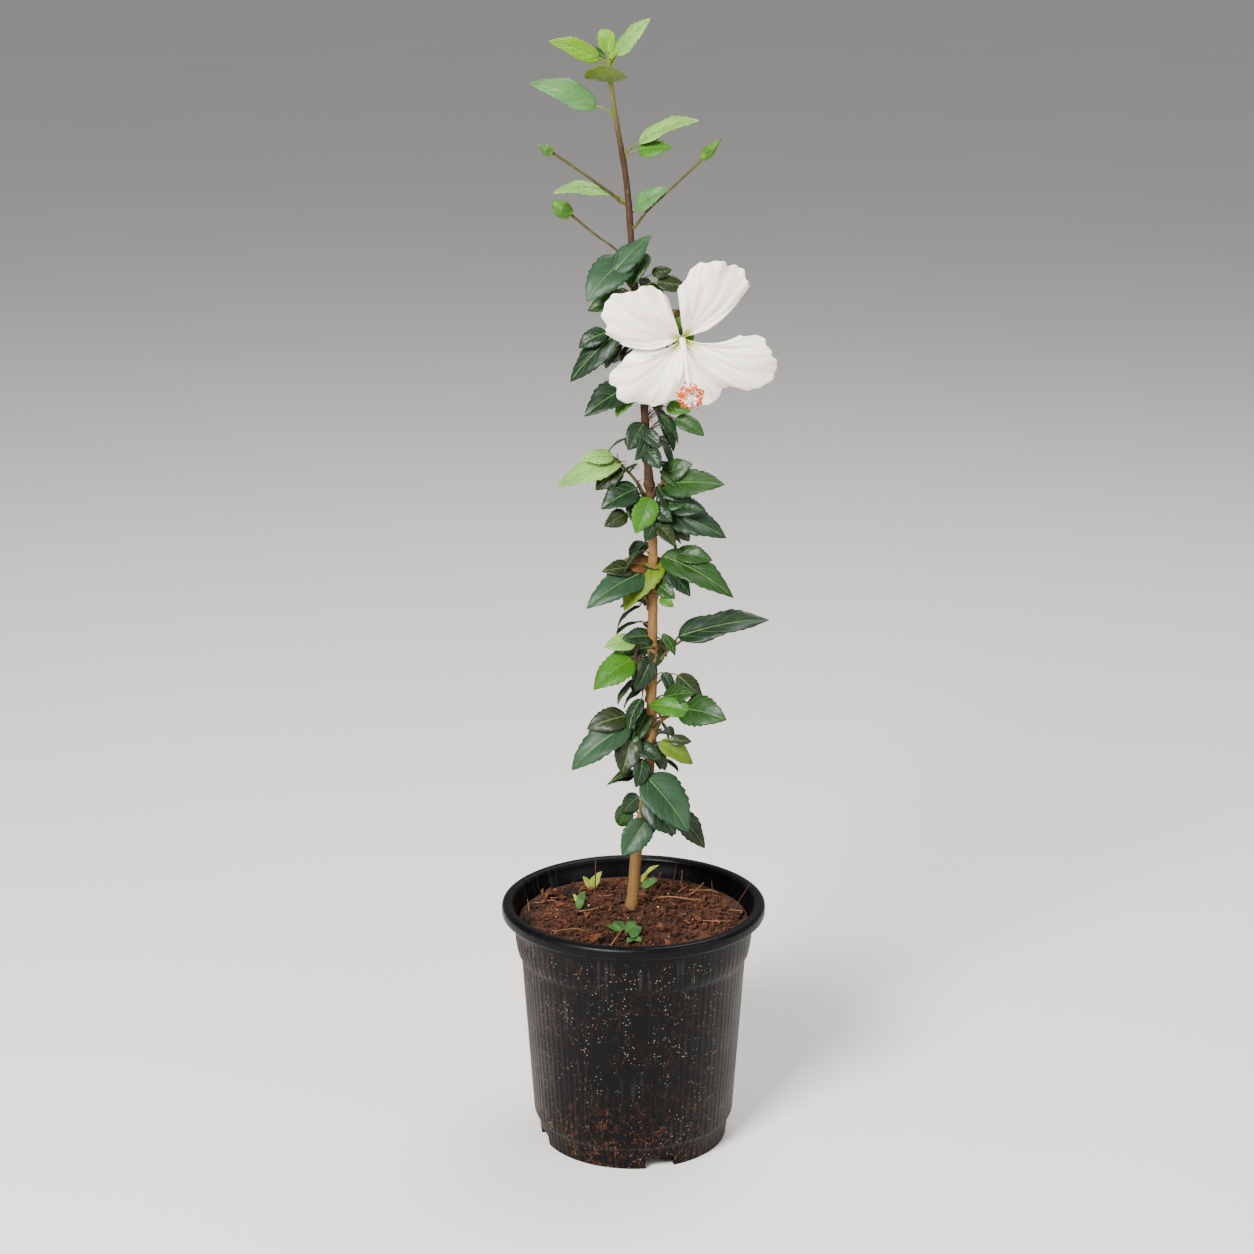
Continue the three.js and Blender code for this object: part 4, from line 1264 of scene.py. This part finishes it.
class HIBISCUS_OT_column(bpy.types.Operator):
    """Draw the stamen column with its filaments, anthers and the five tips of the style"""
    bl_idname = "hibiscus.column"
    bl_label = "Stamen column"

    def execute(self, context):
        bloom = context.scene.hibiscus_bloom
        throat = bloom_axes()[0]
        rows = limb_rows("stamen_column", throat)
        rows[0][:3] = throat
        rows = smooth_rows(rows, 70)
        spots = np.linspace(0, 1, len(rows))
        rows[:, 3] = np.interp(spots, [0, 0.15, 0.6, 0.93, 1], np.array([2.5, 1.9, 1.6, 1.2, 0.5]) * MM)
        white = plain_finish("column white", bloom.column, 0.55, 200, 0.06)
        settle(drawn_limb(rows, 5), "column", ["stamen_column"], [white])
        draw = np.random.default_rng(21)
        threads, anthers, tips = Bundle(), Bundle(), Bundle()
        points, faces = ball()
        for number in range(bloom.filaments):
            row = int(len(rows) * (0.84 + 0.15 * draw.uniform()))
            way = unit(rows[row][:3] - rows[row - 2][:3])
            turn = number * 2.399
            side = unit(np.cross(way, UP))
            out = side * math.cos(turn) + np.cross(way, side) * math.sin(turn)
            out = unit(out + way * draw.uniform(-0.1, 0.75))
            end = rows[row][:3] + out * bloom.filament * draw.uniform(0.75, 1.15)
            threads.add(*tube(bent(rows[row][:3], end, out, unit(out + 0.4 * way), 5), [0.25 * MM] * 5, 4))
            stretch = np.array([1.15, 0.8, 0.8]) * bloom.anther * draw.uniform(0.8, 1.1)
            anthers.add(points * stretch + end, faces)
        tip, way = rows[-1][:3], unit(rows[-1][:3] - rows[-4][:3])
        side = unit(np.cross(way, UP))
        for number in range(5):
            turn = number * 2 * math.pi / 5
            out = unit(side * math.cos(turn) + np.cross(way, side) * math.sin(turn) + way * 1.1)
            end = tip + out * 5.5 * MM
            threads.add(*tube(bent(tip, end, way, out, 6), [0.4 * MM] * 6, 5))
            tips.add(points * 1.2 * MM + end, faces)
        settle_bundle(threads, "filaments", white)
        settle_bundle(anthers, "anthers",
                      plain_finish("anther", bloom.anther_colour, 0.8, 500, 0.3))
        settle_bundle(tips, "stigmas", plain_finish("stigma", bloom.stigma, 0.7, 500, 0.12))
        return {"FINISHED"}


class HIBISCUS_OT_buds(bpy.types.Operator):
    """Shape the ribbed buds, the bloom's calyx and the thin bracts round them"""
    bl_idname = "hibiscus.buds"
    bl_label = "Buds and calyx"

    def execute(self, context):
        bloom = context.scene.hibiscus_bloom
        self.skin = Finish("bud green", 0.55)
        wander = self.skin.between(self.skin.noise(150, 4), 0.35, 0.68)
        self.skin.paint(self.skin.mix(wander, bloom.sepal, bloom.sepal_rib))
        self.skin.bump(self.skin.noise(900, 3), 0.0002, 0.5)
        self.bracts = Bundle()
        for name, stalk in (("right_bud", "right_bud_stalk"), ("left_bud", "left_bud_stalk"),
                            ("lower_left_bud", "lower_left_bud_stalk"), ("calyx", "bloom_stalk")):
            rows = limb_rows(name, SHOOT_ROWS[stalk][-1][:3])
            self.bud(name, rows, name == "calyx")
        bracts = self.bracts.build("bud_bracts")
        apply_modifier(bracts, "SOLIDIFY", thickness=0.3 * MM, offset=-1)
        settle(bracts, "bud_bracts", (), [self.skin.material])
        return {"FINISHED"}

    def bud(self, name, rows, is_open):
        """Five sepals closed in a spindle, or standing open under the bloom."""
        rows = smooth_rows(rows, 34)
        shape = drawn_limb(rows, 9)
        way = unit(rows[-1][:3] - rows[0][:3])
        side = unit(np.cross(way, [0.2, 1, 0.1]))
        lift = np.cross(way, side)
        span = np.linalg.norm(rows[-1][:3] - rows[0][:3])
        for vertex in shape.data.vertices:
            place = np.array(vertex.co)
            t = float(np.clip((place - rows[0][:3]) @ way / span, 0, 1))
            axis = np.array([np.interp(t, np.linspace(0, 1, len(rows)), rows[:, k]) for k in range(3)])
            out = place - axis
            turn = math.atan2(out @ lift, out @ side) * 5 + 3.2 * t
            furrow = 0.1 * math.sin(math.pi * min(t * 1.1, 1)) * (1 - abs(math.cos(turn / 2)))
            vertex.co = Vector(axis + out * (1 - furrow))
        settle(shape, name + "_sepals", [name], [self.skin.material])
        leaf_shape = bpy.context.scene.hibiscus_leaf
        foot = rows[2][:3]
        for number in range(7):
            turn = number * 2 * math.pi / 7
            out = side * math.cos(turn) + lift * math.sin(turn)
            start = foot + out * rows[2][3] * 0.7
            tip = start + unit(way * 0.9 + out * (0.9 if is_open else 0.55)) * (4 if is_open else 5) * MM
            bract = Leaf(start, tip, unit(out - way), 0.16, 0.2, -0.15, 0.0, 0.0)
            self.bracts.add(*blade(leaf_shape, bract, 8, 2))


# ---------------------------------------------------------------- stage

# Name, place, size and power of each soft light
LIGHTS = (
    ("key light", (-1.1, -2.0, 1.9), 0.9, 225),
    ("fill light", (1.9, -1.4, 1.2), 1.6, 34),
    ("top light", (0.5, 0.8, 2.5), 1.2, 55),
)
LIT_PLACE = Vector((0, 0, 0.4))           # where the lights point
FLOOR_SIZE = 80
SENSOR_WIDTH = 36


class HIBISCUS_OT_stage(bpy.types.Operator):
    """Lay the pale floor, hang soft studio lights and set the camera"""
    bl_idname = "hibiscus.stage"
    bl_label = "Stage, lights and camera"

    def execute(self, context):
        stage = context.scene.hibiscus_stage
        deselect()
        bpy.ops.mesh.primitive_plane_add(size=FLOOR_SIZE)
        floor = bpy.context.object
        floor.name = "floor"
        floor.data.materials.append(plain_finish("pale floor", stage.floor, 0.9, 2, 0.01, 0.0))
        world = bpy.data.worlds.new("soft air")
        context.scene.world = world
        world.use_nodes = True
        air = world.node_tree.nodes["Background"]
        air.inputs["Color"].default_value = (*stage.air, 1)
        air.inputs["Strength"].default_value = stage.air_strength
        for light in LIGHTS:
            self.light(*light)
        bpy.ops.object.camera_add(location=(stage.sideways, -stage.distance, stage.height),
                                  rotation=(math.pi / 2 - stage.pitch, 0, 0))
        camera = bpy.context.object
        camera.data.lens = stage.lens
        camera.data.sensor_width = SENSOR_WIDTH
        context.scene.camera = camera
        return {"FINISHED"}

    @staticmethod
    def light(name, place, size, power):
        bpy.ops.object.light_add(type="AREA", location=place)
        lamp = bpy.context.object
        lamp.name = name
        lamp.data.size = size
        lamp.data.energy = power
        aim = LIT_PLACE - Vector(place)
        lamp.rotation_euler = aim.to_track_quat("-Z", "Y").to_euler()


# ---------------------------------------------------------------- panel and registration

class HIBISCUS_PT_panel(bpy.types.Panel):
    """Lists the pieces of the potted hibiscus and their settings"""
    bl_idname = "HIBISCUS_PT_panel"
    bl_label = "Potted Hibiscus"
    bl_space_type = "VIEW_3D"
    bl_region_type = "UI"
    bl_category = "Hibiscus"

    def draw(self, context):
        for operator in OPERATORS:
            self.layout.operator(operator.bl_idname)
        for name in SETTINGS:
            box = self.layout.box()
            settings = getattr(context.scene, name)
            for key in settings.__annotations__:
                box.prop(settings, key)


SETTINGS = {
    "hibiscus_pot": PotSettings, "hibiscus_soil": SoilSettings, "hibiscus_stem": StemSettings,
    "hibiscus_leaf": LeafSettings, "hibiscus_bloom": BloomSettings, "hibiscus_stage": StageSettings,
}
OPERATORS = (
    HIBISCUS_OT_stage, HIBISCUS_OT_pot, HIBISCUS_OT_soil, HIBISCUS_OT_litter, HIBISCUS_OT_stem,
    HIBISCUS_OT_shoots, HIBISCUS_OT_leaves, HIBISCUS_OT_corolla, HIBISCUS_OT_column, HIBISCUS_OT_buds,
)


def register():
    for kind in (*SETTINGS.values(), *OPERATORS, HIBISCUS_PT_panel):
        bpy.utils.register_class(kind)
    for name, kind in SETTINGS.items():
        setattr(bpy.types.Scene, name, PointerProperty(type=kind))


def unregister():
    for name in SETTINGS:
        delattr(bpy.types.Scene, name)
    for kind in reversed((*SETTINGS.values(), *OPERATORS, HIBISCUS_PT_panel)):
        bpy.utils.unregister_class(kind)


def main():
    register()
    for operator in OPERATORS:
        group, name = operator.bl_idname.split(".")
        getattr(getattr(bpy.ops, group), name)()


if __name__ == "__main__":
    main()
